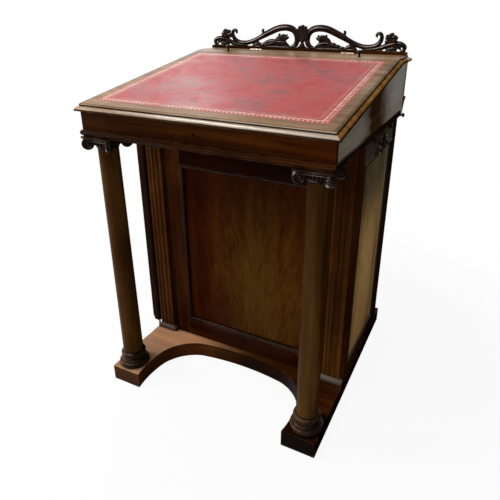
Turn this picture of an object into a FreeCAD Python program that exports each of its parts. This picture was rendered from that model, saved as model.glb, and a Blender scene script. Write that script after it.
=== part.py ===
"""Davenport desk: a sloping writing box over a pedestal of side drawers, with two columns in front.

Frame: millimetres, +Z up, +Y to the back, +X to the sitter's right.
The origin is the centre of the underside of the base.
"""
import FreeCAD, Part
import math
import os
import re

import Sketcher

V = FreeCAD.Vector
TO_FRONT_VIEW = FreeCAD.Rotation(V(1, 0, 0), 90)
TO_SIDE_VIEW = FreeCAD.Rotation(V(1, 1, 1), 120)

SIZES = {
    # base platform
    "base_width": 560,
    "base_depth": 570,
    "base_height": 41.5,
    "block_width": 80,
    "arch_depth": 189,
    "arch_side_reach": 105,
    "arch_side_inset": 2,
    "arch_side_radius": 250,
    "arch_flat_inset": 80,
    "arch_flat_rise": 11,
    "arch_corner_radius": 116,
    "arch_flat_radius": 660,
    # pedestal
    "pedestal_side_inset": 4.5,
    "knee_depth": 203,
    "pedestal_back_inset": 23,
    "pedestal_top_level": 650,
    "frame_thickness": 22,
    "board_thickness": 14,
    "back_thickness": 14,
    "back_field_margin": 60,
    "back_field_depth": 4,
    "corner_bead": 4,
    # front frame and panel
    "front_stile_width": 97.5,
    "front_rail_bottom_width": 47.5,
    "front_rail_top_width": 101,
    "panel_thickness": 10,
    "panel_recess": 8,
    "moulding_width": 10,
    "moulding_proud": 1.5,
    "moulding_round": 9,
    # right side frame and panel
    "side_stile_front_width": 12,
    "side_stile_rear_width": 35,
    "side_rail_bottom_width": 18.5,
    "side_rail_top_width": 50,
    "side_recess": 4.5,
    "cartouche_width": 124,
    "cartouche_height": 54,
    "cartouche_drop": 35,
    "cartouche_relief": 7,
    "cartouche_shift": 15,
    "cartouche_rebate": 0.3,
    # pilasters
    "pilaster_inset": 27.5,
    "pilaster_width": 43,
    "pilaster_proud": 10,
    "flute_width": 9,
    "flute_land": 3.5,
    "pilaster_base_width": 58,
    "pilaster_base_height": 17,
    "pilaster_base_proud": 14,
    "pilaster_base_step": 4,
    # columns
    "column_side_inset": 36,
    "column_front_inset": 41.5,
    "column_base_height": 43.5,
    "column_base_radius": 32.5,
    "shaft_foot_radius": 25,
    "shaft_neck_radius": 22.4,
    "capital_height": 26,
    "capital_width": 82,
    "abacus_thickness": 6,
    "volute_radius": 13.5,
    "volute_waist_radius": 9,
    "echinus_radius": 29,
    "spiral_ridge": 2,
    # drawers
    "post_thickness": 30,
    "drawer_front_thickness": 18,
    "drawer_side_thickness": 9,
    "drawer_bottom_thickness": 7,
    "drawer_rear_gap": 29,
    "drawer_gap": 0.4,
    "drawer_step": 7,
    "drawer_knob_radius": 15,
    "drawer_knob_length": 26,
    "drawer_knob_spacing": 170,
    "guide_thickness": 12,
    "rear_guide_thickness": 14,
    # locking stile
    "stile_depth": 40,
    "stile_thickness": 22,
    "stile_gap": 0.4,
    "stile_foot_gap": 18.5,
    "stile_head_gap": 14,
    "stile_pivot_inset": 7.2,
    "stile_pin_radius": 3,
    "stile_pin_grip": 14,
    "running_clearance": 0.06,
    "stile_foot": 8,
    # writing box
    "box_front_inset": 11.5,
    "box_back_overhang": 7,
    "box_height": 135.3,
    "box_wall": 12,
    "box_bottom_thickness": 8,
    "box_moulding_overhang": 2,
    "box_moulding_width": 20,
    "slide_room": 14,
    "slide_front_reach": 33,
    "slide_gap": 0.4,
    "slide_stop_half": 5,
    "slide_stop_gap": 7,
    "slide_knob_radius": 6,
    "slide_knob_length": 12,
    "slide_knob_front_inset": 52,
    "slide_knob_rear_inset": 7,
    "slide_knob_drop": 3,
    "cornice_reach": 27,
    "cornice_lift": 3,
    "cornice_height": 40,
    # lid and ledge
    "ledge_overhang": 8,
    "slope_break_inset": 102,
    "hinge_line_inset": 42,
    "lid_slope": 9.65,
    "lid_thickness": 17,
    "lid_overhang": 8.5,
    "lid_front_overhang": 11.9,
    "lid_gap": 0.3,
    "edge_under_reach": 6,
    "edge_tip_low": 14.4,
    "edge_tip_high": 12.6,
    "edge_ovolo": 9.5,
    "edge_fillet": 5.9,
    "edge_round": 4,
    "quirk_inset": 9,
    "quirk_depth": 1,
    "leather_side_border": 33.5,
    "leather_front_border": 37,
    "leather_rear_border": 41,
    "leather_thickness": 0.8,
    "hinge_side_inset": 156.5,
    "hinge_length": 34,
    "hinge_leaf_width": 10,
    "hinge_leaf_thickness": 1.2,
    "knuckle_radius": 2.4,
    "hinge_pin_radius": 1.1,
    "knuckle_gap": 0.3,
    "lid_knob_side_inset": 106.5,
    "lid_knob_inset": 8,
    "lid_knob_radius": 6,
    "lid_knob_length": 16,
    "keyhole_height": 20,
    "keyhole_radius": 2.4,
    "lock_width": 50,
    "lock_height": 24,
    "lock_thickness": 6,
    "lock_head_gap": 5,
    # inside the box
    "nest_depth": 120,
    "nest_height": 84,
    "nest_wall": 6,
    "nest_cells": 5,
    # gallery
    "gallery_inset": 27,
    "gallery_end_gap": 8,
    "gallery_height": 69,
    "gallery_rail_height": 7,
    "gallery_rail_thickness": 16,
    "gallery_thickness": 9,
    "gallery_relief": 2.5,
}

doc = FreeCAD.newDocument("davenport_desk")
sheet = doc.addObject("Spreadsheet::Sheet", "Sizes")
for row, (alias, value) in enumerate(SIZES.items(), start=1):
    sheet.set(f"A{row}", alias)
    sheet.set(f"B{row}", str(value))
    sheet.setAlias(f"B{row}", alias)
doc.recompute()

NODES = {}

# Places and sizes that follow from the cells, each by its own name.
DERIVED = {
    "arch_flat_half": "(base_width / 2 - block_width - arch_flat_inset)",
    "pedestal_width": "(base_width - 2 * pedestal_side_inset)",
    "pedestal_front": "(base_depth / 2 - knee_depth)",
    "front_panel_half": "(pedestal_width / 2 - front_stile_width)",
    "front_panel_low": "(base_height + front_rail_bottom_width)",
    "front_panel_high": "(pedestal_top_level - front_rail_top_width)",
    "side_panel_low": "(base_height + side_rail_bottom_width)",
    "side_panel_high": "(pedestal_top_level - side_rail_top_width)",
    "cartouche_level": "(pedestal_top_level - cartouche_drop)",
    "pilaster_centre": "(pedestal_width / 2 - pilaster_inset)",
    "flute_radius": "(flute_width * 0.58)",
    "column_offset": "(base_width / 2 - column_side_inset)",
    "column_front": "(base_depth / 2 - column_front_inset)",
    "drawer_length": "(pedestal_width - frame_thickness - drawer_rear_gap)",
    "stile_low": "(base_height + stile_foot_gap)",
    "stile_high": "(pedestal_top_level - stile_head_gap)",
    "box_width": "base_width",
    "box_front_face": "(base_depth / 2 - box_front_inset)",
    "box_back_face": "(base_depth / 2 + box_back_overhang)",
    "box_low": "(pedestal_top_level + slide_room)",
    "slide_reach": "(box_width / 2 + box_moulding_overhang - slide_stop_half - slide_stop_gap)",
    "cornice_low": "(pedestal_top_level + cornice_lift)",
    "ledge_top": "(box_low + box_height)",
    "slope_break": "(box_back_face - slope_break_inset)",
    "hinge_line": "(box_back_face - hinge_line_inset)",
    "lid_front_tip": "(box_front_face + lid_front_overhang)",
    "lid_half": "(box_width / 2 + lid_overhang)",
    "hinge_offset": "(lid_half - hinge_side_inset)",
    "lid_knob_offset": "(lid_half - lid_knob_side_inset)",
    "keyhole_level": "(box_low + keyhole_height)",
    "gallery_plane": "(box_back_face - gallery_inset)",
    "gallery_half": "(box_width / 2)",
}
REAR = "(base_depth / 2 - pedestal_back_inset)"
HALF = "(pedestal_width / 2)"
BACK_INNER = f"({REAR} - back_thickness)"
FRAME_INNER = "(-pedestal_front + frame_thickness)"
CARCASE_TOP = "(pedestal_top_level - board_thickness)"
CARCASE_LOW = "(base_height + board_thickness)"
GUIDE_FACE = f"({FRAME_INNER} + guide_thickness)"
REAR_GUIDE_FACE = f"({BACK_INNER} - rear_guide_thickness)"
SIDE_INNER = f"({HALF} - frame_thickness)"
STILE_BACK = f"({FRAME_INNER} + side_stile_front_width)"
STILE_REAR = f"({BACK_INNER} - side_stile_rear_width)"
LEDGE_LOW = "(ledge_top - lid_thickness)"
LID_DROP = "(lid_thickness / cos(lid_slope))"
LID_LENGTH = "((lid_front_tip + slope_break) / cos(lid_slope))"
LID_HALF = "lid_half"
LEDGE_BACK = "(box_back_face + ledge_overhang)"
SLIDE_FRONT = f"({FRAME_INNER} - slide_front_reach)"


def written_out(text):
    """A formula with each derived name replaced by what it follows from."""
    while True:
        longer = re.sub(r"[a-z_]+", lambda word: DERIVED.get(word.group(), word.group()), text)
        if longer == text:
            return text
        text = longer


def size(text):
    """Value in mm of a formula of the sheet's cells."""
    return float(sheet.evalExpression(written_out(text)))


def linked(text):
    """The same formula as another object of the document writes it."""
    return re.sub(
        r"[a-z_]+",
        lambda word: f"Sizes.{word.group()}" if word.group() in SIZES else word.group(),
        written_out(text),
    )


def bind(item, **formulas):
    """Bind properties of an object to formulas of the sheet's cells."""
    for name, text in formulas.items():
        item.setExpression(name, linked(text))


def place(item, x="0", y="0", z="0"):
    """Bind the place of an object, keeping how it is turned."""
    for axis, text in (("x", x), ("y", y), ("z", z)):
        item.setExpression(f".Placement.Base.{axis}", linked(text))
    return item


def node(label, item):
    """Name an object as one of the desk's sub-parts."""
    item.Label = label
    NODES[label] = item
    return item


def box(name, x, y, z):
    """A board between three pairs of planes, each pair a low and a high formula."""
    item = doc.addObject("Part::Box", name)
    for side, (low, high) in (("Length", x), ("Width", y), ("Height", z)):
        bind(item, **{side: f"{high} - ({low})"})
    return place(item, x[0], y[0], z[0])


def board(label, x, y, z):
    """A board that is a sub-part by itself."""
    return node(label, box(label, x, y, z))


def cylinder(name, radius, height, axis, x="0", y="0", z="0"):
    """A round bar that starts at (x, y, z) and runs along an axis."""
    item = doc.addObject("Part::Cylinder", name)
    item.Placement = FreeCAD.Placement(V(), FreeCAD.Rotation(V(0, 0, 1), axis))
    bind(item, Radius=radius, Height=height)
    return place(item, x, y, z)


def join(kind, name, items):
    """A boolean or a compound of several objects."""
    item = doc.addObject(kind, name)
    if kind == "Part::Compound":
        item.Links = items
    elif kind == "Part::Cut":
        item.Base, item.Tool = items
    else:
        item.Shapes = items
    return item


def outline(sketch, corners):
    """Draw a closed outline and bind it to the sheet.

    A corner is (x, y) where a straight run follows, or (x, y, radius) where an arc follows:
    a plus radius turns anticlockwise to the next corner and a minus radius clockwise.
    """
    first = sketch.GeometryCount
    points = [V(size(corner[0]), size(corner[1]), 0) for corner in corners]
    pieces, ends, radii = [], [], {}
    for index, corner in enumerate(corners):
        start, stop = points[index], points[(index + 1) % len(points)]
        if len(corner) == 2:
            pieces.append(Part.LineSegment(start, stop))
            ends.append((1, 2))
            continue
        radius = size(corner[2])
        chord = stop - start
        rise = math.sqrt(radius ** 2 - chord.Length ** 2 / 4)
        left = V(-chord.y, chord.x, 0).normalize()
        centre = (start + stop) * 0.5 + left * math.copysign(rise, radius)
        low, high = (start, stop) if radius > 0 else (stop, start)
        circle = Part.Circle(centre, V(0, 0, 1), abs(radius))
        angles = [math.atan2(point.y - centre.y, point.x - centre.x) for point in (low, high)]
        pieces.append(Part.ArcOfCircle(circle, *angles))
        ends.append((1, 2) if radius > 0 else (2, 1))
        radii[index] = corner[2]
    sketch.addGeometry(pieces)
    rules, formulas = [], []
    for index, corner in enumerate(corners):
        following = (index + 1) % len(corners)
        rules.append(Sketcher.Constraint(
            "Coincident", first + index, ends[index][1], first + following, ends[following][0]))
        formulas.append(None)
        for kind, text, axis in (("DistanceX", corner[0], -2), ("DistanceY", corner[1], -1)):
            if text == "0":
                rules.append(Sketcher.Constraint("PointOnObject", first + index, ends[index][0], axis))
                formulas.append(None)
                continue
            rules.append(Sketcher.Constraint(
                kind, -1, 1, first + index, ends[index][0], size(text)))
            formulas.append(text)
        if index in radii:
            rules.append(Sketcher.Constraint("Radius", first + index, abs(size(radii[index]))))
            formulas.append(f"abs({radii[index]})")
    for number, text in zip(sketch.addConstraint(rules), formulas):
        if text:
            sketch.setExpression(f"Constraints[{number}]", linked(text))


def sketch_in(body, name, role, corners, level="0"):
    """A sketch on one of a body's own planes, at a level along the plane's normal."""
    sketch = body.newObject("Sketcher::SketchObject", name)
    plane = next(item for item in body.Origin.OriginFeatures if item.Role == role)
    sketch.AttachmentSupport = [(plane, "")]
    sketch.MapMode = "FlatFace"
    sketch.setExpression(".AttachmentOffset.Base.z", linked(level))
    outline(sketch, corners)
    return sketch


def padded(name, role, corners, length, level="0", symmetric=False):
    """A body that is one outline padded to a length."""
    body = doc.addObject("PartDesign::Body", name)
    sketch = sketch_in(body, f"{name}_outline", role, corners, level)
    pad = body.newObject("PartDesign::Pad", f"{name}_pad")
    pad.Profile = sketch
    pad.SideType = "Symmetric" if symmetric else "One side"
    bind(pad, Length=length)
    return body


def turned(name, corners):
    """A body turned about its own Z axis; a corner is (radius, height)."""
    body = doc.addObject("PartDesign::Body", name)
    sketch = sketch_in(body, f"{name}_outline", "XZ_Plane", corners)
    revolution = body.newObject("PartDesign::Revolution", f"{name}_turning")
    revolution.Profile = sketch
    revolution.ReferenceAxis = (sketch, ["V_Axis"])
    revolution.Angle = 360
    return body


def pocket(body, name, role, corners, depth, level="0", symmetric=True):
    """Cut an outline out of a body, and check that it takes material away."""
    doc.recompute()
    before = body.Shape.Volume
    sketch = sketch_in(body, f"{name}_outline", role, corners, level)
    cut = body.newObject("PartDesign::Pocket", name)
    cut.Profile = sketch
    cut.SideType = "Symmetric" if symmetric else "One side"
    bind(cut, Length=depth)
    doc.recompute()
    if body.Shape.Volume >= before:
        raise RuntimeError(f"{name} cuts nothing")
    return cut


def extruded(name, rotation, corners, length, start):
    """A bar of one section, drawn in a front or a side view."""
    sketch = doc.addObject("Sketcher::SketchObject", f"{name}_section")
    sketch.Placement = FreeCAD.Placement(V(), rotation)
    outline(sketch, corners)
    bar = doc.addObject("Part::Extrusion", name)
    bar.Base = sketch
    bar.DirMode = "Normal"
    bar.Solid = True
    bind(bar, LengthFwd=f"{start} + {length}", LengthRev=f"-({start})")
    return bar


def rectangle(x, y):
    """Corners of a rectangle between two pairs of lines."""
    return [(x[0], y[0]), (x[1], y[0]), (x[1], y[1]), (x[0], y[1])]


def swept_frame(label, rotation, x, y, section, at):
    """A mitred moulding round a rectangle.

    The section is drawn at the middle of the lower side: its first number grows outwards from the
    rectangle and its second towards the viewer.
    """
    path = doc.addObject("Sketcher::SketchObject", f"{label}_path")
    path.Placement = FreeCAD.Placement(V(), rotation)
    outline(path, rectangle(x, y))
    profile = doc.addObject("Sketcher::SketchObject", f"{label}_section")
    inward = rotation.multVec(V(0, -1, 0))
    proud = rotation.multVec(V(0, 0, 1))
    turn = FreeCAD.Rotation(inward, proud, V(), "ZXY")
    profile.Placement = FreeCAD.Placement(V(), turn)
    low = rotation.multVec(V(size(f"({x[0]} + {x[1]}) / 2"), size(y[0]), 0))
    outline(profile, section)
    place(profile, *[f"{value:.6f}" for value in low])
    sweep = doc.addObject("Part::Sweep", label)
    sweep.Sections = [profile]
    sweep.Spine = (path, ["Edge1", "Edge2", "Edge3", "Edge4"])
    sweep.Solid = True
    sweep.Transition = "Right corner"
    return node(label, place(sweep, *at))


# ---------------------------------------------------------------- base and pedestal


def base_platform():
    """The plinth board, with its front cut back in a flat arch between two blocks."""
    front = "-base_depth / 2"
    inner = "(base_width / 2 - block_width)"
    half = [
        (f"{inner}", front),
        ("base_width / 2", front),
        ("base_width / 2", "base_depth / 2"),
    ]
    shoulder = (f"({inner} - arch_side_inset)", f"{front} + arch_side_reach")
    flat = ("arch_flat_half", f"{front} + arch_depth - arch_flat_rise")
    corners = [
        *half,
        ("-base_width / 2", "base_depth / 2"),
        ("-base_width / 2", front),
        (f"-{inner}", front, "-arch_side_radius"),
        (f"-{shoulder[0]}", shoulder[1], "-arch_corner_radius"),
        (f"-{flat[0]}", flat[1], "-arch_flat_radius"),
        (*flat, "-arch_corner_radius"),
        (*shoulder, "-arch_side_radius"),
    ]
    node("base_platform", padded("base_platform", "XY_Plane", corners, "base_height"))


def carcase():
    """Bottom, top and back boards of the pedestal."""
    wide = (f"-{HALF}", SIDE_INNER)
    deep = (FRAME_INNER, BACK_INNER)
    board("pedestal_bottom", wide, deep, ("base_height", CARCASE_LOW))
    board("pedestal_top", wide, deep, (CARCASE_TOP, "pedestal_top_level"))
    body = padded(
        "pedestal_back", "XZ_Plane",
        rectangle((f"-{HALF}", HALF), ("base_height", "pedestal_top_level")),
        "back_thickness", f"-{REAR}")
    field = rectangle(
        (f"-{HALF} + back_field_margin", f"{HALF} - back_field_margin"),
        ("base_height + back_field_margin", "pedestal_top_level - back_field_margin"))
    pocket(body, "back_field", "XZ_Plane", field, "back_field_depth * 2", f"-{REAR}")
    node("pedestal_back", body)


def front_frame():
    """Stiles, rails, panel and moulding of the knee-hole front."""
    y = ("-pedestal_front", FRAME_INNER)
    z = ("base_height", "pedestal_top_level")
    across = ("-front_panel_half", "front_panel_half")
    board("front_stile_left", (f"-{HALF}", "-front_panel_half"), y, z)
    corners = [
        ("front_panel_half", FRAME_INNER),
        ("front_panel_half", "-pedestal_front"),
        (f"{HALF} - corner_bead", "-pedestal_front", "corner_bead"),
        (HALF, "-pedestal_front + corner_bead"),
        (HALF, FRAME_INNER),
    ]
    height = "pedestal_top_level - base_height"
    stile = padded("front_stile_right", "XY_Plane", corners, height, "base_height")
    node("front_stile_right", stile)
    board("front_rail_top", across, y, ("front_panel_high", "pedestal_top_level"))
    board("front_rail_bottom", across, y, ("base_height", "front_panel_low"))
    face = "(-pedestal_front + panel_recess)"
    board("front_panel", across, (face, f"{face} + panel_thickness"),
          ("front_panel_low", "front_panel_high"))
    rise = "(panel_recess + moulding_proud)"
    section = [
        ("0", "0"),
        ("0", f"{rise} - 2"),
        ("-2", f"{rise}"),
        ("-moulding_width / 2", f"{rise}", "moulding_round"),
        ("-moulding_width", "1.5"),
        ("-moulding_width", "0"),
    ]
    swept_frame("front_panel_moulding", TO_FRONT_VIEW, across,
                ("front_panel_low", "front_panel_high"), section, ("0", face, "0"))


def right_side():
    """Stiles, rails, panel, moulding and carved cartouche of the right side."""
    x = (SIDE_INNER, HALF)
    z = ("base_height", "pedestal_top_level")
    between = (STILE_BACK, STILE_REAR)
    board("side_stile_front", x, (FRAME_INNER, STILE_BACK), z)
    board("side_stile_rear", x, (STILE_REAR, BACK_INNER), z)
    board("side_rail_top", x, between, ("side_panel_high", "pedestal_top_level"))
    board("side_rail_bottom", x, between, ("base_height", "side_panel_low"))
    face = f"({HALF} - side_recess)"
    board("side_panel", (f"{face} - panel_thickness", face), between,
          ("side_panel_low", "side_panel_high"))
    rise = "(side_recess + moulding_proud)"
    section = [
        ("0", "0"),
        ("0", f"{rise} - 1"),
        ("-1", f"{rise}"),
        ("-moulding_width / 2", f"{rise}", "moulding_round"),
        ("-moulding_width", "1"),
        ("-moulding_width", "0"),
    ]
    swept_frame("side_panel_moulding", TO_SIDE_VIEW, between,
                ("side_panel_low", "side_panel_high"), section, (face, "0", "0"))
    cartouche(HALF, f"({STILE_BACK} + {STILE_REAR}) / 2 + cartouche_shift")


def cartouche(x, y):
    """A carved shell on the top rail, hollowed behind where it passes over the moulding."""
    reach = "(cartouche_width / 2)"
    tall = "(cartouche_height / 2)"
    corners = [
        ("0", f"-{tall}", f"{tall} * 1.05"),
        (f"{reach} * 0.45", f"-{tall} * 0.45", f"{reach} * 0.28"),
        (f"{reach} * 0.95", f"-{tall} * 0.5", f"{tall} * 0.6"),
        (f"{reach}", f"{tall} * 0.35", f"{reach} * 0.29"),
        (f"{reach} * 0.5", f"{tall} * 0.62", f"{tall} * 1.1"),
        ("0", f"{tall}"),
    ]
    shell = mirrored_arcs(corners)
    plaque = padded("cartouche_plaque", "YZ_Plane", shell, "cartouche_relief * 0.55")
    boss = doc.addObject("Part::Ellipsoid", "cartouche_boss")
    bind(boss, Radius1="cartouche_height * 0.4", Radius2="cartouche_relief",
         Radius3="cartouche_height * 0.46")
    wide = ("-cartouche_width", "cartouche_width")
    front = box("cartouche_front", ("cartouche_relief * 0.2", "cartouche_relief * 2"), wide, wide)
    raised = join("Part::MultiCommon", "cartouche_raised", [boss, front])
    carved = join("Part::MultiFuse", "cartouche_carved", [plaque, raised])
    rebate = box("cartouche_hollow", ("-1", "moulding_proud + cartouche_rebate"), wide,
                 ("-cartouche_height", "side_panel_high - cartouche_level + cartouche_rebate"))
    cut = join("Part::Cut", "side_cartouche", [carved, rebate])
    node("side_cartouche", place(cut, x, y, "cartouche_level"))


def mirrored_arcs(corners):
    """A half outline of arcs, from the lowest point on the axis to the highest, made whole."""
    whole = list(corners)
    for index in range(len(corners) - 2, 0, -1):
        x, y = corners[index][:2]
        whole.append((f"-({x})", y, corners[index - 1][2]))
    top = whole[len(corners) - 1]
    whole[len(corners) - 1] = (*top, corners[-2][2])
    return whole


def left_side():
    """Posts, dust boards and guides of the drawer side."""
    x = (f"-{HALF}", f"-{HALF} + post_thickness")
    z = (CARCASE_LOW, CARCASE_TOP)
    board("left_post_front", x, (FRAME_INNER, GUIDE_FACE), z)
    board("left_post_rear", x, (REAR_GUIDE_FACE, BACK_INNER), z)
    inner = (f"-{HALF} + post_thickness", f"{SIDE_INNER}")
    pieces = [
        box("guide_front", inner, (FRAME_INNER, GUIDE_FACE), z),
        box("guide_rear", inner, (REAR_GUIDE_FACE, BACK_INNER), z),
    ]
    for number in (1, 2, 3):
        top = drawer_low(number)
        pieces.append(box(
            f"dust_board_{number}", (f"-{HALF}", SIDE_INNER), (GUIDE_FACE, REAR_GUIDE_FACE),
            (f"{top} - board_thickness", top)))
    node("drawer_framing", join("Part::Compound", "drawer_framing", pieces))


def drawer_room():
    """Mean height of a drawer's opening."""
    return f"(({CARCASE_TOP} - {CARCASE_LOW} - 3 * board_thickness) / 4)"


def drawer_low(number):
    """Level of the board under a drawer, counted from the top."""
    above = sum(step - 2.5 for step in range(1, number + 1))
    return (f"({CARCASE_TOP} - {number} * {drawer_room()} - {above} * drawer_step"
            f" - {number - 1} * board_thickness)")


def dome(radius, rise):
    """Radius of a sphere's cap that closes a turning of one radius with one rise."""
    return f"((({radius}) ^ 2 + ({rise}) ^ 2) / (2 * ({rise})))"


def turned_knob(name, radius, length, axis, x, y, z):
    """A turned knob: a collar, a thin neck and a rounded head, along an axis from its seat."""
    cap = dome(f"{radius} * 0.9", f"{length} * 0.24")
    body = turned(name, [
        ("0", "0"),
        (f"{radius} * 0.62", "0"),
        (f"{radius} * 0.62", f"{length} * 0.12"),
        (f"{radius} * 0.42", f"{length} * 0.2"),
        (f"{radius} * 0.4", f"{length} * 0.42"),
        (f"{radius} * 0.95", f"{length} * 0.55", f"{radius} * 0.4"),
        (f"{radius} * 0.9", f"{length} * 0.76", cap),
        ("0", length),
    ])
    body.Placement = FreeCAD.Placement(V(), FreeCAD.Rotation(V(0, 0, 1), axis))
    return place(body, x, y, z)


def drawers():
    """Four graduated drawers that open to the left, each with two knobs."""
    face = f"-{HALF}"
    middle = f"(({GUIDE_FACE} + {REAR_GUIDE_FACE}) / 2)"
    front = f"({GUIDE_FACE} + drawer_gap)"
    rear = f"({REAR_GUIDE_FACE} - drawer_gap)"
    wall = "drawer_side_thickness"
    inside = f"({face} + drawer_front_thickness)"
    end = f"({face} + drawer_length)"
    for number in (1, 2, 3, 4):
        low = f"({drawer_low(number)} + drawer_gap * 0.75)"
        room = f"({drawer_room()} + {number - 2.5} * drawer_step)"
        high = f"({drawer_low(number)} + {room} - drawer_gap)"
        top = f"({high} - 8)"
        name = f"drawer_{number}"
        pieces = [
            box(f"{name}_front", (face, inside), (front, rear), (low, high)),
            box(f"{name}_near_side", (inside, end), (front, f"{front} + {wall}"), (low, top)),
            box(f"{name}_far_side", (inside, end), (f"{rear} - {wall}", rear), (low, top)),
            box(f"{name}_back", (f"{end} - {wall}", end),
                (f"{front} + {wall}", f"{rear} - {wall}"), (low, top)),
            box(f"{name}_bottom", (inside, f"{end} - {wall}"),
                (f"{front} + {wall}", f"{rear} - {wall}"),
                (low, f"{low} + drawer_bottom_thickness")),
        ]
        node(name, join("Part::Compound", name, pieces))
        knobs = [
            turned_knob(f"{name}_knob_{index}", "drawer_knob_radius", "drawer_knob_length",
                        V(-1, 0, 0), face, f"{middle} + ({side}) * drawer_knob_spacing / 2",
                        f"({low} + {high}) / 2")
            for index, side in enumerate((-1, 1), start=1)
        ]
        label = f"drawer_knobs_{number}"
        node(label, join("Part::Compound", label, knobs))


def locking_stile():
    """The stile that stands before the drawers' front edges, turning on two pins."""
    inner = f"(-{HALF} - stile_gap)"
    outer = f"({inner} - stile_thickness)"
    front = "(-pedestal_front - pilaster_proud)"
    corners = [
        (inner, f"{front} + stile_pivot_inset"),
        (inner, f"{front} + stile_depth"),
        (outer, f"{front} + stile_depth"),
        (outer, front),
        (f"{inner} - stile_pivot_inset", front, "stile_pivot_inset"),
    ]
    tall = "stile_high - stile_low"
    body = padded("locking_stile", "XY_Plane", corners, tall, "stile_low")
    pivot = (f"({inner} - stile_pivot_inset)", f"({front} + stile_pivot_inset)")
    bore = "(stile_pin_radius + running_clearance)"
    for end, level in (("low", "stile_low"), ("high", "stile_high")):
        pocket(body, f"pivot_bore_{end}", "XY_Plane", ring(pivot, bore),
               "stile_pin_grip * 2", level)
    foot = [
        (f"{outer} - 1", "stile_low - 1"),
        (f"{outer} + stile_foot", "stile_low - 1"),
        (f"{outer} + stile_foot", "stile_low"),
        (f"{outer} + stile_foot * 0.45", "stile_low + stile_foot * 0.4"),
        (f"{outer} + stile_foot * 0.4", "stile_low + stile_foot"),
        (outer, "stile_low + stile_foot * 1.5"),
        (f"{outer} - 1", "stile_low + stile_foot * 1.5"),
    ]
    pocket(body, "stile_foot_moulding", "XZ_Plane", foot, "base_depth")
    node("locking_stile", body)
    grip = "(stile_pin_grip - 0.5)"
    pins = [
        cylinder("pin_low", "stile_pin_radius", f"stile_low - base_height + {grip}",
                 V(0, 0, 1), *pivot, "base_height"),
        cylinder("pin_high", "stile_pin_radius", f"pedestal_top_level - stile_high + {grip}",
                 V(0, 0, 1), *pivot, f"stile_high - {grip}"),
    ]
    node("stile_pivots", join("Part::Compound", "stile_pivots", pins))


def ring(centre, radius):
    """Four quarter arcs that make a whole circle."""
    x, y = centre
    return [
        (f"{x} + {radius}", y, radius),
        (x, f"{y} + {radius}", radius),
        (f"{x} - {radius}", y, radius),
        (x, f"{y} - {radius}", radius),
    ]


def pilasters():
    """Reeded pilasters with stepped feet, one on each front stile."""
    flutes = 3
    pitch = "(flute_width + flute_land)"
    proud = "(-pedestal_front - pilaster_proud)"
    for side, sign in (("left", -1), ("right", 1)):
        centre = f"({sign} * pilaster_centre)"
        low = f"({centre} - pilaster_width / 2)"
        corners = [(low, "-pedestal_front"), (low, proud)]
        for index in range(flutes):
            middle = f"({centre} + {index - (flutes - 1) / 2} * {pitch})"
            corners.append((f"{middle} - flute_width / 2", proud, "-flute_radius"))
            corners.append((f"{middle} + flute_width / 2", proud))
        corners.append((f"{centre} + pilaster_width / 2", proud))
        corners.append((f"{centre} + pilaster_width / 2", "-pedestal_front"))
        foot = "(base_height + pilaster_base_height)"
        label = f"pilaster_{side}"
        node(label, padded(label, "XY_Plane", corners, f"pedestal_top_level - {foot}", foot))
        pilaster_foot(f"pilaster_base_{side}", centre)


def pilaster_foot(label, centre):
    """The stepped block that a pilaster stands on."""
    wide = "(pilaster_base_width / 2)"
    step = "pilaster_base_step"
    tall = "pilaster_base_height"
    half = [
        ("0", "0"),
        (wide, "0"),
        (wide, f"{tall} * 0.5"),
        (f"{wide} - {step} * 0.6", f"{tall} * 0.62", f"-{step} * 1.2"),
        (f"{wide} - {step} * 1.5", f"{tall} * 0.85"),
        (f"{wide} - {step} * 1.5", tall),
        ("0", tall),
    ]
    front = "(-pedestal_front - pilaster_base_proud)"
    section = [
        ("-pedestal_front", "0"),
        ("-pedestal_front", tall),
        (f"{front} + {step}", tall),
        (f"{front} + {step}", f"{tall} * 0.85"),
        (f"{front} + {step} * 0.4", f"{tall} * 0.62"),
        (front, f"{tall} * 0.5"),
        (front, "0"),
    ]
    across = extruded(f"{label}_across", TO_FRONT_VIEW, closed_half(half),
                      "base_depth", "0")
    along = extruded(f"{label}_along", TO_SIDE_VIEW, section[::-1],
                     "pilaster_base_width", f"(-{wide})")
    foot = join("Part::MultiCommon", label, [across, along])
    node(label, place(foot, centre, "0", "base_height"))


def closed_half(half):
    """A section that is the same on both sides of its axis, from its right half."""
    inner = half[1:-1]
    other = []
    for index in range(len(inner) - 1, -1, -1):
        x, y = inner[index][:2]
        arc = inner[index - 1][2:] if index else ()
        other.append((f"-({x})", y, *arc))
    return list(inner) + other


# ---------------------------------------------------------------- columns


def columns():
    """Turned base, tapered shaft and Ionic capital on each side."""
    for side, sign in (("left", -1), ("right", 1)):
        at = (f"{sign} * column_offset", "-column_front")
        base = turned(f"column_base_{side}", base_profile())
        node(f"column_base_{side}", place(base, *at, "base_height"))
        shaft_low = "(base_height + column_base_height)"
        capital_low = "(pedestal_top_level - capital_height)"
        tall = f"({capital_low} - {shaft_low})"
        shaft = turned(f"column_shaft_{side}", [
            ("0", "0"),
            ("shaft_foot_radius", "0"),
            ("shaft_neck_radius", tall),
            ("0", tall),
        ])
        node(f"column_shaft_{side}", place(shaft, *at, shaft_low))
        capital(f"capital_{side}", *at, capital_low)


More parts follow.
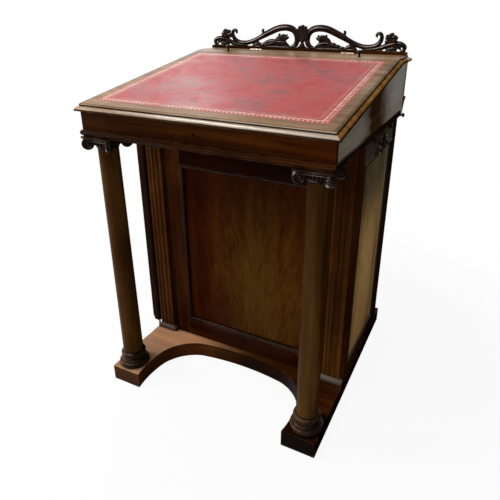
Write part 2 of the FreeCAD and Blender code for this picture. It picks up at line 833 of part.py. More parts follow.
def base_profile():
    """Torus, scotia and torus of a column's base, from the plinth up."""
    wide = "column_base_radius"
    upper = "(column_base_radius - 5)"
    tall = "column_base_height"
    levels = [f"({tall} * {share})" for share in (0.322, 0.379, 0.621, 0.667, 0.885, 0.908)]
    torus, scotia, scotia_top, fillet, upper_torus, seat = levels
    return [
        ("0", "0"),
        (wide, "0", f"{torus} * 0.514"),
        (wide, torus),
        (f"{wide} - 1.5", torus),
        (f"{wide} - 1.5", scotia, f"-({tall} * 0.207)"),
        (f"{upper} + 1", scotia_top),
        (f"{upper} + 1", fillet),
        (upper, fillet, f"({upper_torus} - {fillet}) * 0.517"),
        (upper, upper_torus),
        ("shaft_foot_radius", seat),
        ("shaft_foot_radius", tall),
        ("0", tall),
    ]


def capital(label, x, y, z):
    """An Ionic capital: abacus, echinus and two rolled cushions that end in spiral volutes."""
    half = "(capital_width / 2)"
    under = "(capital_height - abacus_thickness)"
    seat = f"({under} + 1)"
    roll = f"({half} - volute_radius)"
    level = f"({under} - volute_radius + 3)"
    front = f"({half} - 2)"
    hollow = [
        ("0", under),
        (f"{half} - 4", under, "-5"),
        (f"{half} - 1", f"{under} + abacus_thickness * 0.5"),
        (half, f"{under} + abacus_thickness * 0.5"),
        (half, "capital_height"),
        ("0", "capital_height"),
    ]
    across = extruded(f"{label}_across", TO_FRONT_VIEW, closed_half(hollow),
                      "capital_width", f"(-{half})")
    along = extruded(f"{label}_along", TO_SIDE_VIEW, closed_half(hollow),
                     "capital_width", f"(-{half})")
    abacus = join("Part::MultiCommon", f"{label}_abacus", [across, along])
    echinus = turned(f"{label}_echinus", [
        ("0", "0"),
        ("shaft_neck_radius", "0"),
        ("shaft_neck_radius + 1", "4"),
        ("echinus_radius", f"{under} - 9", "12"),
        ("echinus_radius - 1", seat),
        ("0", seat),
    ])
    web = box(f"{label}_web", (f"-{roll}", roll), (f"-{front} + 2", f"{front} - 2"),
              (level, seat))
    pieces = [abacus, echinus, web]
    for side in (-1, 1):
        cushion = turned(f"{label}_roll_{side + 2}", [
            ("0", f"-{front}"),
            ("volute_radius", f"-{front}"),
            ("volute_radius", f"-{front} + 8", "-90"),
            ("volute_waist_radius", "-4"),
            ("volute_waist_radius + 1.5", "-3"),
            ("volute_waist_radius + 1.5", "3"),
            ("volute_waist_radius", "4", "-90"),
            ("volute_radius", f"{front} - 8"),
            ("volute_radius", front),
            ("0", front),
        ])
        cushion.Placement = FreeCAD.Placement(V(), FreeCAD.Rotation(V(0, 0, 1), V(0, -1, 0)))
        pieces.append(place(cushion, f"{side} * {roll}", "0", level))
        for face in (-1, 1):
            name = f"{label}_volute_{side + 2}_{face + 2}"
            pieces.append(volute(name, side, f"{side} * {roll}", f"{face} * {front}", level))
    whole = join("Part::MultiFuse", label, pieces)
    node(label, place(whole, x, y, z))


def volute(name, side, x, y, z):
    """The raised spiral on the end of a roll."""
    spiral = doc.addObject("Part::Spiral", f"{name}_line")
    spiral.Rotations = 1.75
    bind(spiral, Radius="volute_radius * 0.18",
         Growth="(volute_radius * 0.82 - spiral_ridge) / 1.75")
    ridge = doc.addObject("Sketcher::SketchObject", f"{name}_section")
    ridge.Placement = FreeCAD.Placement(V(), TO_FRONT_VIEW)
    inner = "(volute_radius * 0.18)"
    outline(ridge, rectangle((inner, f"{inner} + spiral_ridge"),
                             ("-spiral_ridge * 0.75", "spiral_ridge * 0.75")))
    sweep = doc.addObject("Part::Sweep", name)
    sweep.Sections = [ridge]
    sweep.Spine = (spiral, ["Edge1"])
    sweep.Solid = True
    sweep.Frenet = True
    turn = FreeCAD.Rotation(V(1, 0, 0), 90) if side > 0 else FreeCAD.Rotation(
        V(side, 0, 0), V(0, 0, 1), V(), "XYZ")
    sweep.Placement = FreeCAD.Placement(V(), turn)
    return place(sweep, x, y, z)


# ---------------------------------------------------------------- slides and writing box


def slides():
    """A pull-out slide on each side, between the pedestal and the writing box."""
    back = f"({REAR} + slide_gap)"
    low = "pedestal_top_level"
    edge = "(box_width / 2 + box_moulding_overhang)"
    bearers = [
        box("bearer_front", ("-box_width / 2 + box_wall * 1.5", "box_width / 2 - box_wall * 1.5"),
            ("-box_front_face + box_wall", f"{SLIDE_FRONT} - slide_gap"), (low, "box_low")),
        box("bearer_rear", ("-box_width / 2", "box_width / 2"), (back, "box_back_face"),
            (low, "box_low")),
        box("bearer_middle", ("-slide_stop_half", "slide_stop_half"),
            (f"{SLIDE_FRONT} - slide_gap", back), (low, "box_low")),
    ]
    node("slide_bearers", join("Part::Compound", "slide_bearers", bearers))
    knob_ends = (f"({SLIDE_FRONT} + slide_knob_front_inset)", f"({REAR} - slide_knob_rear_inset)")
    for side, sign in (("left", -1), ("right", 1)):
        ends = [f"{edge} - slide_reach", edge]
        x = ends if sign > 0 else [f"-({ends[1]})", f"-({ends[0]})"]
        name = f"slide_{side}"
        pieces = [box(f"{name}_board", x, (SLIDE_FRONT, f"{REAR}"),
                      (f"{low} + slide_gap * 0.6", "box_low - slide_gap"))]
        for index, share in enumerate((0, 0.5, 1), start=1):
            pieces.append(turned_knob(
                f"{name}_knob_{index}", "slide_knob_radius", "slide_knob_length",
                V(sign, 0, 0), f"{sign} * {edge}",
                f"{knob_ends[0]} * {1 - share} + {knob_ends[1]} * {share}",
                f"({low} + box_low) / 2 - slide_knob_drop"))
        node(name, join("Part::Compound", name, pieces))


def lid_under(y):
    """Level of the lid's underside at a place along the desk."""
    return f"(ledge_top - {LID_DROP} - (slope_break - ({y})) * tan(lid_slope))"


def writing_box():
    """Front, sides, back, bottom, bottom moulding and rear cornice of the writing box."""
    wide = ("-box_width / 2", "box_width / 2")
    inner = ("(-box_width / 2 + box_wall)", "(box_width / 2 - box_wall)")
    face = "(-box_front_face)"
    back = "(box_back_face - box_wall)"
    behind = f"({face} + box_wall)"
    front = padded("box_front", "YZ_Plane", [
        (face, "box_low"),
        (behind, "box_low"),
        (behind, f"{lid_under(behind)} - lid_gap"),
        (face, f"{lid_under(face)} - lid_gap"),
    ], "box_width", symmetric=True)
    slot = rectangle(("-keyhole_radius / 2", "keyhole_radius / 2"),
                     ("keyhole_level - 8", "keyhole_level"))
    pocket(front, "keyhole_slot", "XZ_Plane", slot, "box_wall * 3", "box_front_face")
    pocket(front, "keyhole_round", "XZ_Plane", ring(("0", "keyhole_level"), "keyhole_radius"),
           "box_wall * 3", "box_front_face")
    node("box_front", front)
    top = [
        (behind, "box_low"),
        (back, "box_low"),
        (back, LEDGE_LOW),
        ("hinge_line", LEDGE_LOW),
        ("hinge_line", f"{LEDGE_LOW} - lid_gap"),
        ("slope_break", f"{LEDGE_LOW} - lid_gap"),
        ("slope_break - 1", f"{lid_under('slope_break - 1')} - lid_gap"),
        (behind, f"{lid_under(behind)} - lid_gap"),
    ]
    for side, sign in (("left", -1), ("right", 1)):
        start = inner[1] if sign > 0 else wide[0]
        label = f"box_side_{side}"
        node(label, padded(label, "YZ_Plane", top, "box_wall", start))
    board("box_back", wide, (back, "box_back_face"), ("box_low", LEDGE_LOW))
    board("box_bottom", inner, (behind, back), ("box_low", "box_low + box_bottom_thickness"))
    node("lid_lock", box("lid_lock", ("-lock_width / 2", "lock_width / 2"),
                         (behind, f"{behind} + lock_thickness"),
                         ("keyhole_level - lock_height / 2",
                          f"{lid_under(behind)} - lock_head_gap")))
    box_moulding(f"{SLIDE_FRONT} - slide_gap")
    cornice = padded("rear_cornice", "YZ_Plane", [
        ("box_back_face", "cornice_low"),
        ("box_back_face + 2", "cornice_low", "-60"),
        ("box_back_face + cornice_reach * 0.6", "cornice_low + cornice_height * 0.72", "22"),
        ("box_back_face + cornice_reach", "cornice_low + cornice_height * 0.9"),
        ("box_back_face + cornice_reach", "cornice_low + cornice_height"),
        ("box_back_face", "cornice_low + cornice_height"),
    ], "box_width", symmetric=True)
    node("rear_cornice", cornice)


def box_moulding(rear):
    """The moulding under the front and the sides of the box, as far back as the slides."""
    out = "(box_width / 2 + box_moulding_overhang)"
    reach = "(box_front_face + box_moulding_overhang * 4)"
    low = "pedestal_top_level"
    tall = "(box_low - pedestal_top_level)"
    across = extruded("box_moulding_across", TO_FRONT_VIEW, closed_half([
        ("0", low),
        (f"{out} - 4", low),
        (f"{out} - 4", f"{low} + 2", "9"),
        (out, f"{low} + {tall} * 0.6"),
        (out, f"{low} + {tall} - 1.5"),
        (f"{out} - 1.5", "box_low"),
        ("0", "box_low"),
    ]), "base_depth", "-base_depth / 2")
    along = extruded("box_moulding_along", TO_SIDE_VIEW, [
        (rear, "box_low"),
        (f"-{reach} + 4", "box_low"),
        (f"-{reach}", f"{low} + {tall} * 0.6", "9"),
        (f"-{reach} + 6", f"{low} + 2"),
        (f"-{reach} + 6", low),
        (rear, low),
    ], "base_width + 60", "(-base_width / 2 - 30)")
    solid = join("Part::MultiCommon", "box_moulding_slab", [across, along])
    room = box("box_moulding_room", (f"-{out} + box_moulding_width", f"{out} - box_moulding_width"),
               ("-box_front_face + box_wall", f"{rear} + 10"), (f"{low} - 1", "box_low + 1"))
    node("box_moulding", join("Part::Cut", "box_moulding", [solid, room]))


def edge_profile(tip, inward):
    """The moulding at a lid's edge, from its underside to its top.

    tip is the outermost line and inward (+1 or -1) the way to the middle of the lid.
    """
    def at(inset):
        return f"({tip} + ({inward}) * ({inset}))"

    swing = "" if inward < 0 else "-"
    return [
        (at("edge_under_reach"), "-lid_thickness"),
        (tip, "-edge_tip_low"),
        (tip, "-edge_tip_high", f"{swing}edge_ovolo"),
        (at("quirk_inset"), "-edge_fillet"),
        (at("quirk_inset + quirk_depth"), "-edge_fillet"),
        (at("quirk_inset"), "-edge_round", f"{swing}edge_round"),
        (at("quirk_inset + edge_round"), "0"),
    ]


def reversed_run(corners):
    """The same run of corners from its end to its start."""
    run = []
    for index in range(len(corners) - 1, -1, -1):
        arc = corners[index - 1][2:] if index else ()
        turned_back = tuple(text[1:] if text[0] == "-" else f"-{text}" for text in arc)
        run.append((*corners[index][:2], *turned_back))
    return run


def both_edges(half):
    """Section across a lid or ledge with the same moulding at both ends."""
    return edge_profile(half, -1) + reversed_run(edge_profile(f"(-{half})", 1))


def lid():
    """The lid in one piece, sloping and then flat, its leather, its ledge and their fittings."""
    slope = sloping_part()
    flat_y = ("slope_break - 0.2", "hinge_line - lid_gap")
    flat = extruded("lid_flat", TO_FRONT_VIEW, both_edges(LID_HALF),
                    f"({flat_y[1]} - ({flat_y[0]}))", f"(-({flat_y[1]}))")
    place(flat, "0", "0", "ledge_top")
    notches = place(hinge_notches("lid_notches", -1), "0", "hinge_line", "ledge_top")
    cut_flat = join("Part::Cut", "lid_flat_notched", [flat, notches])
    node("lid", join("Part::MultiFuse", "lid", [slope, cut_flat]))
    field_x, field_y = leather_field()
    leather = box("lid_leather_sheet", field_x, field_y, ("-leather_thickness", "0"))
    node("lid_leather", on_slope(join("Part::Compound", "lid_leather", [leather])))
    knobs = [
        turned_knob(f"lid_knob_{index}", "lid_knob_radius", "lid_knob_length", V(0, 0, 1),
                    f"{side} * lid_knob_offset", "-lid_knob_inset", "0")
        for index, side in enumerate((-1, 1), start=1)
    ]
    node("lid_knobs", on_slope(join("Part::Compound", "lid_knobs", knobs)))
    ledge()
    hinges()


def leather_field():
    """The leather's place on the slope, across and along."""
    across = (f"-{LID_HALF} + leather_side_border", f"{LID_HALF} - leather_side_border")
    along = (f"-{LID_LENGTH} + leather_front_border", "-leather_rear_border")
    return across, along


def sloping_part():
    """The slope of the lid, moulded at the front and the sides, with its bed for the leather."""
    across = extruded("lid_across", TO_FRONT_VIEW, both_edges(LID_HALF), f"{LID_LENGTH} + 10", "0")
    rear_low = ("-lid_thickness * tan(lid_slope)", "-lid_thickness")
    front = reversed_run(edge_profile(f"(-{LID_LENGTH})", 1))
    along = extruded("lid_along", TO_SIDE_VIEW, [rear_low, ("0", "0"), *front],
                     f"2 * {LID_HALF} + 20", f"(-{LID_HALF} - 10)")
    slab = join("Part::MultiCommon", "lid_slab", [across, along])
    recess = box("lid_recess", *leather_field(), ("-leather_thickness", "5"))
    return on_slope(join("Part::Cut", "lid_slope_part", [slab, recess]))


def on_slope(item):
    """Put a piece drawn flat on the slope, with its zero line where the slope ends."""
    item.Placement = FreeCAD.Placement(V(), FreeCAD.Rotation(V(1, 0, 0), 1))
    item.setExpression(".Placement.Rotation.Angle", linked("lid_slope"))
    return place(item, "0", "slope_break", "ledge_top")


def ledge():
    """The flat board behind the lid, with the lid's moulding on its ends and back."""
    length = f"({LEDGE_BACK} - hinge_line)"
    across = extruded("ledge_across", TO_FRONT_VIEW, both_edges(LID_HALF), f"{length} + 10",
                      f"(-{length} - 5)")
    back = edge_profile(length, -1)
    along = extruded("ledge_along", TO_SIDE_VIEW, [
        *back, ("lid_gap", "0"), ("lid_gap", "-lid_thickness"),
    ], f"2 * {LID_HALF} + 20", f"(-{LID_HALF} - 10)")
    slab = join("Part::MultiCommon", "ledge_slab", [across, along])
    whole = join("Part::Cut", "box_ledge", [slab, hinge_notches("ledge_notches", 1)])
    node("box_ledge", place(whole, "0", "hinge_line", "ledge_top"))


def hinge_notches(name, way):
    """Room for the knuckles and for the leaves on one side of the hinge line."""
    pieces = []
    for index, side in enumerate((-1, 1), start=1):
        low = f"({side} * hinge_offset - hinge_length / 2)"
        pieces.append(cylinder(
            f"{name}_round_{index}", "knuckle_radius + knuckle_gap",
            "hinge_length + 2 * knuckle_gap", V(1, 0, 0), f"{low} - knuckle_gap"))
        far = f"({way}) * (knuckle_radius + hinge_leaf_width)"
        y = ("0", far) if way > 0 else (far, "0")
        pieces.append(box(f"{name}_leaf_{index}", (low, f"{low} + hinge_length"), y,
                          ("-hinge_leaf_thickness", "3")))
    return join("Part::MultiFuse", name, pieces)


def hinges():
    """Two brass butt hinges: one leaf on the ledge and one on the lid, on a common pin."""
    third = "(hinge_length / 3)"
    moving, fixed = [], []
    for index, side in enumerate((-1, 1), start=1):
        low = f"({side} * hinge_offset - hinge_length / 2)"
        for way, leaves in ((-1, moving), (1, fixed)):
            name = f"hinge_{index}_{'lid' if way < 0 else 'box'}"
            near = "(knuckle_radius * 0.5)"
            far = "(knuckle_radius + hinge_leaf_width)"
            y = (near, far) if way > 0 else (f"-{far}", f"-{near}")
            plate = box(f"{name}_plate", (low, f"{low} + hinge_length"), y,
                        ("-hinge_leaf_thickness", "0"))
            relief = knuckle_relief(f"{name}_relief", low, third, way)
            leaf = join("Part::Cut", f"{name}_leaf", [plate, relief])
            barrel = knuckle(name, low, third, way)
            solid = join("Part::MultiFuse", f"{name}_blank", [leaf, *barrel])
            if way < 0:
                bore = cylinder(f"{name}_bore", "hinge_pin_radius + running_clearance",
                                "hinge_length + 2", V(1, 0, 0), f"{low} - 1")
                leaves.append(join("Part::Cut", f"{name}_bored", [solid, bore]))
            else:
                pin = cylinder(f"{name}_pin", "hinge_pin_radius", "hinge_length",
                               V(1, 0, 0), low)
                leaves.append(join("Part::MultiFuse", f"{name}_pinned", [solid, pin]))
    for label, leaves in (("hinge_leaves_lid", moving), ("hinge_leaves_box", fixed)):
        pair = join("Part::Compound", label, leaves)
        node(label, place(pair, "0", "hinge_line", "ledge_top"))


def knuckle_relief(name, low, third, way):
    """Room in a leaf for the other leaf's knuckles: one place on the lid's, two on the box's."""
    if way < 0:
        spans = [(f"{low} + {third} - knuckle_gap", f"{low} + 2 * {third} + knuckle_gap")]
        y = ("-knuckle_radius - knuckle_gap", "5")
    else:
        spans = [(f"{low} - 1", f"{low} + {third} + knuckle_gap / 2"),
                 (f"{low} + 2 * {third} - knuckle_gap / 2", f"{low} + hinge_length + 1")]
        y = ("-5", "knuckle_radius + knuckle_gap")
    rooms = [box(f"{name}_{index}", span, y, ("-5", "5"))
             for index, span in enumerate(spans, start=1)]
    return join("Part::Compound", name, rooms)


def knuckle(name, low, third, way):
    """The barrel of a leaf: the middle third on the box's leaf, the outer two on the lid's."""
    starts = [f"{low} + {third} + knuckle_gap / 2"] if way > 0 else [
        low, f"{low} + 2 * {third} + knuckle_gap / 2"]
    length = f"{third} - knuckle_gap" if way > 0 else f"{third} - knuckle_gap / 2"
    return [
        cylinder(f"{name}_barrel_{index}", "knuckle_radius", length, V(1, 0, 0), start)
        for index, start in enumerate(starts, start=1)
    ]


def pigeonholes():
    """The open nest of pigeonholes at the back of the writing box."""
    half = "(box_width / 2 - box_wall - slide_gap)"
    low = "(box_low + box_bottom_thickness)"
    back = "(box_back_face - box_wall)"
    cells = int(size("nest_cells"))
    cell = f"((2 * {half} - nest_wall) / nest_cells - nest_wall)"
    body = padded("pigeonholes", "XZ_Plane", rectangle(
        (f"-{half}", half), (low, f"{low} + nest_height")), "nest_depth", f"-{back}")
    for index in range(cells):
        start = f"(-{half} + nest_wall + {index} * ({cell} + nest_wall))"
        pocket(body, f"cell_{index + 1}", "XZ_Plane", rectangle(
            (start, f"{start} + {cell}"),
            (f"{low} + nest_wall", f"{low} + nest_height - nest_wall")),
            "(nest_depth - nest_wall) * 2", f"-({back} - nest_depth)")
    node("pigeonholes", body)


# ---------------------------------------------------------------- gallery

# The carving is drawn with its own proportions, and is stretched to the gallery's sizes.
# Scrolls of the right half: (x, height over the ledge, half width) along each middle line.
SCROLLS = {
    "main": [
        (16, 8, 4.5), (13, 26, 6.5), (16, 43, 7.5), (27, 55, 8), (47, 59, 8), (69, 56, 8),
        (89, 48, 7.8), (108, 40, 7.5), (126, 31, 7.5), (146, 22, 7.2), (166, 16.5, 7),
        (187, 16, 6.8), (203, 21, 6.4), (211.5, 31, 5.8), (209, 40.5, 5), (203, 42, 4),
    ],
    "end": [
        (168, 10, 3.6), (192, 11, 5), (211, 14.5, 6), (228, 20.5, 6.5), (245, 25.5, 6.5),
        (261, 26, 6.2), (272, 19.5, 5.6), (270.5, 11, 4.6), (262.5, 9.5, 3.6),
    ],
    "leaf": [
        (40, 12, 3.5), (51, 18.5, 6), (64, 21, 6.6), (80, 20, 6), (95, 16, 5), (109, 12, 4),
        (123, 10, 3.2),
    ],
    "foot": [(17, 9, 3.6), (32, 8.5, 3.6), (53, 10, 4.4), (75, 11, 4.6), (98, 10, 3.4)],
}
# Bosses of both halves: (x, height, radius) of buds and tufts.
BOSSES = [(57, 35, 9.5), (67, 38, 6.5), (44, 35, 5.5), (49, 27, 5.5), (117, 47, 5), (133, 12, 7.5),
          (145, 10, 5), (248, 14, 6)]
# Flower of each half, carved a little nearer the middle on the left.
FLOWERS = [(238, 38, 12), (227, 43, 7), (250, 36, 6.5), (-223, 39, 12), (-212, 44, 7),
           (-236, 38, 6.5)]
# Lobes of the shell in the middle: (turn, root height, length, radius at root, radius at tip).
SHELL = [(-23, 20, 44, 2, 5), (-11.5, 20, 44, 2, 5), (0, 20, 44, 2, 5), (11.5, 20, 44, 2, 5),
         (23, 20, 44, 2, 5)]


def ribbon(points, thickness, share):
    """A flat scroll along a middle line, with the given half widths, cut from a board."""
    middle = Part.BSplineCurve()
    middle.interpolate([V(x, 0, z) for x, z, _ in points])
    sides = ([], [])
    for x, z, half in points:
        spot = middle.parameter(V(x, 0, z))
        along = middle.tangent(spot)[0]
        across = V(-along.z, 0, along.x) * (half * share)
        sides[0].append(V(x, 0, z) + across)
        sides[1].append(V(x, 0, z) - across)
    edges = []
    for side in sides:
        curve = Part.BSplineCurve()
        curve.interpolate(side)
        edges.append(curve.toShape())
    start = Part.makeLine(sides[1][0], sides[0][0])
    tip = V(points[-1][0], 0, points[-1][1])
    ahead = middle.tangent(middle.LastParameter)[0] * (points[-1][2] * share)
    end = Part.Arc(sides[0][-1], tip + ahead, sides[1][-1]).toShape()
    face = Part.Face(Part.Wire([start, edges[0], end, edges[1]]))
    solid = face.extrude(V(0, thickness, 0))
    solid.translate(V(0, -thickness / 2, 0))
    return solid


def carved_boss(x, height, radius, thickness):
    """A round boss that runs through the carving."""
    return Part.makeCylinder(radius, thickness, V(x, -thickness / 2, height), V(0, 1, 0))


def gallery():
    """The rail and, on it, the pierced and carved scrolls with a shell in the middle."""
    rail = (("-gallery_half", "gallery_half"),
            ("gallery_plane - gallery_rail_thickness / 2",
             "gallery_plane + gallery_rail_thickness / 2"))
    board("gallery_rail", *rail, ("ledge_top", "ledge_top + gallery_rail_height"))
    thin = size("gallery_thickness")
    thick = thin + 2 * size("gallery_relief")
    farthest = max(spot[0] for drawn in SCROLLS.values() for spot in drawn)
    highest = max(root + reach + far for _, root, reach, _, far in SHELL)
    wide = (size("gallery_half") - size("gallery_end_gap")) / farthest
    tall = size("gallery_height") / highest
    half = []
    for drawn in SCROLLS.values():
        points = [(x * wide, height * tall, reach * tall) for x, height, reach in drawn]
        half.append(ribbon(points, thin, 1.0))
        half.append(ribbon(points, thick, 0.5))
    half += [carved_boss(x * wide, height * tall, radius * tall, thick)
             for x, height, radius in BOSSES]
    other = [solid.mirror(V(), V(1, 0, 0)) for solid in half]
    flowers = [carved_boss(x * wide, height * tall, radius * tall, thick)
               for x, height, radius in FLOWERS]
    shell = [carved_boss(0, 13 * tall, 8 * tall, thick)]
    for turn, root, reach, near, far in SHELL:
        angle = math.radians(90 + turn)
        away = V(math.cos(angle), 0, math.sin(angle))
        start = V(0, 0, root * tall)
        shell.append(Part.makeCone(near * tall, far * tall, reach * tall, start, away))
        shell.append(Part.makeSphere(far * tall, start + away * (reach * tall)))
    whole = half[0].multiFuse(half[1:] + other + flowers + shell)
    low = size("gallery_rail_height")
    span = size("gallery_half")
    room = Part.makeBox(2 * span, 6 * thick, 2 * size("gallery_height"), V(-span, -3 * thick, low))
    whole = whole.common(room).removeSplitter()
    item = doc.addObject("Part::Feature", "gallery")
    item.Shape = Part.Compound(whole.Solids)
    item.Placement = FreeCAD.Placement(
        V(0, size("gallery_plane"), size("ledge_top")), FreeCAD.Rotation())
    node("gallery", item)


def check_and_write():
    """Stop on any failed object, then write each sub-part to its file."""
    doc.recompute()
    for item in doc.Objects:
        if "Invalid" in item.State or "Error" in item.State:
            raise RuntimeError(f"{item.Name} failed: {item.State}")
    os.makedirs("parts", exist_ok=True)
    for label, item in NODES.items():
        shape = item.Shape
        if shape.isNull() or not shape.isValid() or not shape.Solids:
            raise RuntimeError(f"{label} has no valid solid")
        shape.exportStep(f"parts/{label}.step")
        print(f"{label}: {len(shape.Solids)} solid(s), {shape.Volume / 1000:.1f} cm3")


base_platform()
carcase()
front_frame()
right_side()
left_side()
drawers()
locking_stile()
pilasters()
columns()
slides()
writing_box()
lid()
pigeonholes()
gallery()
check_and_write()
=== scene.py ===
"""Finishes, carving, light and camera for a davenport desk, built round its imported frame.

Frame: metres, +Z up, +Y to the back, +X to the sitter's right, the floor at zero.
"""

from __future__ import annotations

import logging
import math
from dataclasses import dataclass, field
from enum import Enum
from typing import Protocol

import bmesh
import bpy
from mathutils import Matrix, Vector

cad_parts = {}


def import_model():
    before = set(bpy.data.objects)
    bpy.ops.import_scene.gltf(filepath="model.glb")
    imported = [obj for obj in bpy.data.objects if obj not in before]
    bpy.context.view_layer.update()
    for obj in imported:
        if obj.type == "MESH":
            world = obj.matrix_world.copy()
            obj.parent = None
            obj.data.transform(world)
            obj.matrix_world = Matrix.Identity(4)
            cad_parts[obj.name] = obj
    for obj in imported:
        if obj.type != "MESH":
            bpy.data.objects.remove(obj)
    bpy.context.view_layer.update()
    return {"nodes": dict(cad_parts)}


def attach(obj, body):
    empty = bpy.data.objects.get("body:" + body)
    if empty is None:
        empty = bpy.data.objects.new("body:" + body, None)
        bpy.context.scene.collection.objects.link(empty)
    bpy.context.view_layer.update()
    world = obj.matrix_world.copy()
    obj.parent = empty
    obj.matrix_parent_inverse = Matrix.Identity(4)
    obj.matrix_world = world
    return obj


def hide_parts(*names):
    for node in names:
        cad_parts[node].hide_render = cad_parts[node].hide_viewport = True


LOG = logging.getLogger("davenport")
Colour = tuple[float, float, float]
Point = tuple[float, float, float]
MM = 0.001
IN_MM = Matrix.Diagonal((MM, MM, MM, 1))
WHITE: Colour = (1.0, 1.0, 1.0)

# Angles between faces past which an edge stays sharp, in radians: joinery, and carving with none.
SHARP_PAST = 0.6
ALL_SMOOTH = 3.2


# ---------------------------------------------------------------- node trees


class Tree:
    """The node tree of a material or world, with short calls for what they share."""

    def __init__(self, owner: bpy.types.Material | bpy.types.World) -> None:
        """Empty the owner's tree.

        Args:
            owner: The material or world.
        """
        owner.use_nodes = True
        self.owner = owner
        self.tree = owner.node_tree
        self.tree.nodes.clear()

    @classmethod
    def of_material(cls, name: str) -> Tree:
        """The empty tree of a new material."""
        return cls(bpy.data.materials.new(name))

    def add(self, kind: str, inputs: dict | None = None, **settings: object) -> bpy.types.Node:
        """Add a node.

        Args:
            kind: The node's type, without its ShaderNode prefix.
            inputs: Values or sockets for its inputs, by name or index.
            **settings: The node's own properties.

        Returns:
            The new node.
        """
        node = self.tree.nodes.new(f"ShaderNode{kind}")
        for key, value in settings.items():
            setattr(node, key, value)
        for key, value in (inputs or {}).items():
            self.feed(node.inputs[key], value)
        return node

    def feed(self, socket: bpy.types.NodeSocket, value: object) -> None:
        """Link a socket to an input, or set the input's value.

        Args:
            socket: The input.
            value: Another node's output, a number or a colour.
        """
        if isinstance(value, bpy.types.NodeSocket):
            self.tree.links.new(value, socket)
        elif isinstance(value, (tuple, list)) and len(value) == 3 and socket.type == "RGBA":
            socket.default_value = (*value, 1.0)
        else:
            socket.default_value = value

    def place(self, scale: Point = (1, 1, 1), shift: Point = (0, 0, 0), turn: Point = (0, 0, 0),
              source: bpy.types.NodeSocket | None = None) -> bpy.types.NodeSocket:
        """Coordinates, moved, turned and stretched.

        Args:
            scale: Stretch along each axis.
            shift: Move along each axis, in metres.
            turn: Turn about each axis, in radians.
            source: The coordinates, when they are not the object's own.

        Returns:
            The coordinates' socket.
        """
        source = source or self.add("TexCoord").outputs["Object"]
        mapping = self.add("Mapping", {"Vector": source, "Scale": scale, "Location": shift,
                                       "Rotation": turn})
        return mapping.outputs["Vector"]

    def coordinate(self, axis: int, wander: float = 0.0) -> bpy.types.NodeSocket:
        """Place along an axis, which can stray so that a line on it isn't straight.

        Args:
            axis: The axis.
            wander: How far it strays, in metres.

        Returns:
            The place's socket.
        """
        spot = self.add("SeparateXYZ", {"Vector": self.place()}).outputs[axis]
        if not wander:
            return spot
        drift = self.minus(self.noise(self.place(), 9, 5, 0.6, 0.6), 0.5)
        return self.plus(spot, self.times(drift, wander))

    def noise(self, vector: bpy.types.NodeSocket, scale: float, detail: float = 4,
              rough: float = 0.55, twist: float = 0) -> bpy.types.NodeSocket:
        """Noise over coordinates.

        Args:
            vector: The coordinates.
            scale: Cells per metre.
            detail: Octaves.
            rough: Strength of the finer octaves.
            twist: Distortion.

        Returns:
            The noise's factor.
        """
        node = self.add("TexNoise", {"Vector": vector, "Scale": scale, "Detail": detail,
                                     "Roughness": rough, "Distortion": twist})
        return node.outputs["Fac"]

    def ramp(self, factor: bpy.types.NodeSocket,
             stops: list[tuple[float, Colour]]) -> bpy.types.NodeSocket:
        """A colour ramp.

        Args:
            factor: What drives it.
            stops: Place and colour of each stop.

        Returns:
            The colour's socket.
        """
        node = self.add("ValToRGB", {"Fac": factor})
        band = node.color_ramp
        while len(band.elements) < len(stops):
            band.elements.new(0.5)
        for element, (spot, colour) in zip(band.elements, stops):
            element.position = spot
            element.color = (*colour, 1)
        return node.outputs["Color"]

    def level(self, factor: bpy.types.NodeSocket, low: float, high: float,
              out_low: float = 0, out_high: float = 1) -> bpy.types.NodeSocket:
        """Spread a range of a factor over another range, smoothly and clamped.

        Args:
            factor: The factor.
            low: Where the range starts.
            high: Where it ends.
            out_low: What the start becomes.
            out_high: What the end becomes.

        Returns:
            The new factor's socket.
        """
        node = self.add("MapRange", {"Value": factor, "From Min": low, "From Max": high,
                                     "To Min": out_low, "To Max": out_high},
                        interpolation_type="SMOOTHSTEP")
        return node.outputs["Result"]

    def math(self, kind: str, first: object, second: object = 0.0) -> bpy.types.NodeSocket:
        """An operation on one or two values.

        Args:
            kind: The operation.
            first: A socket or number.
            second: A socket or number.

        Returns:
            The result's socket.
        """
        return self.add("Math", {0: first, 1: second}, operation=kind).outputs["Value"]

    def times(self, first: object, second: object) -> bpy.types.NodeSocket:
        """The product of two values."""
        return self.math("MULTIPLY", first, second)

    def plus(self, first: object, second: object) -> bpy.types.NodeSocket:
        """The sum of two values."""
        return self.math("ADD", first, second)

    def minus(self, first: object, second: object) -> bpy.types.NodeSocket:
        """The first value less the second."""
        return self.math("SUBTRACT", first, second)

    def larger(self, first: object, second: object) -> bpy.types.NodeSocket:
        """The larger of two values."""
        return self.math("MAXIMUM", first, second)

    def size_of(self, value: object) -> bpy.types.NodeSocket:
        """A value without its sign."""
        return self.math("ABSOLUTE", value)

    def weighed(self, *parts: tuple[bpy.types.NodeSocket, float]) -> bpy.types.NodeSocket:
        """Add up values by their weights.

        Args:
            *parts: Each value and its weight.

        Returns:
            The sum's socket.
        """
        total = self.times(*parts[0])
        for value, weight in parts[1:]:
            total = self.plus(total, self.times(value, weight))
        return total

    def mix(self, factor: object, under: object, over: object,
            blend: str = "MIX") -> bpy.types.NodeSocket:
        """Mix two colours.

        Args:
            factor: Share of the upper colour.
            under: The lower colour.
            over: The upper colour.
            blend: How they mix.

        Returns:
            The colour's socket.
        """
        node = self.add("Mix", data_type="RGBA", blend_type=blend)
        for slot, value in ((0, factor), (6, under), (7, over)):
            self.feed(node.inputs[slot], value)
        return node.outputs[2]

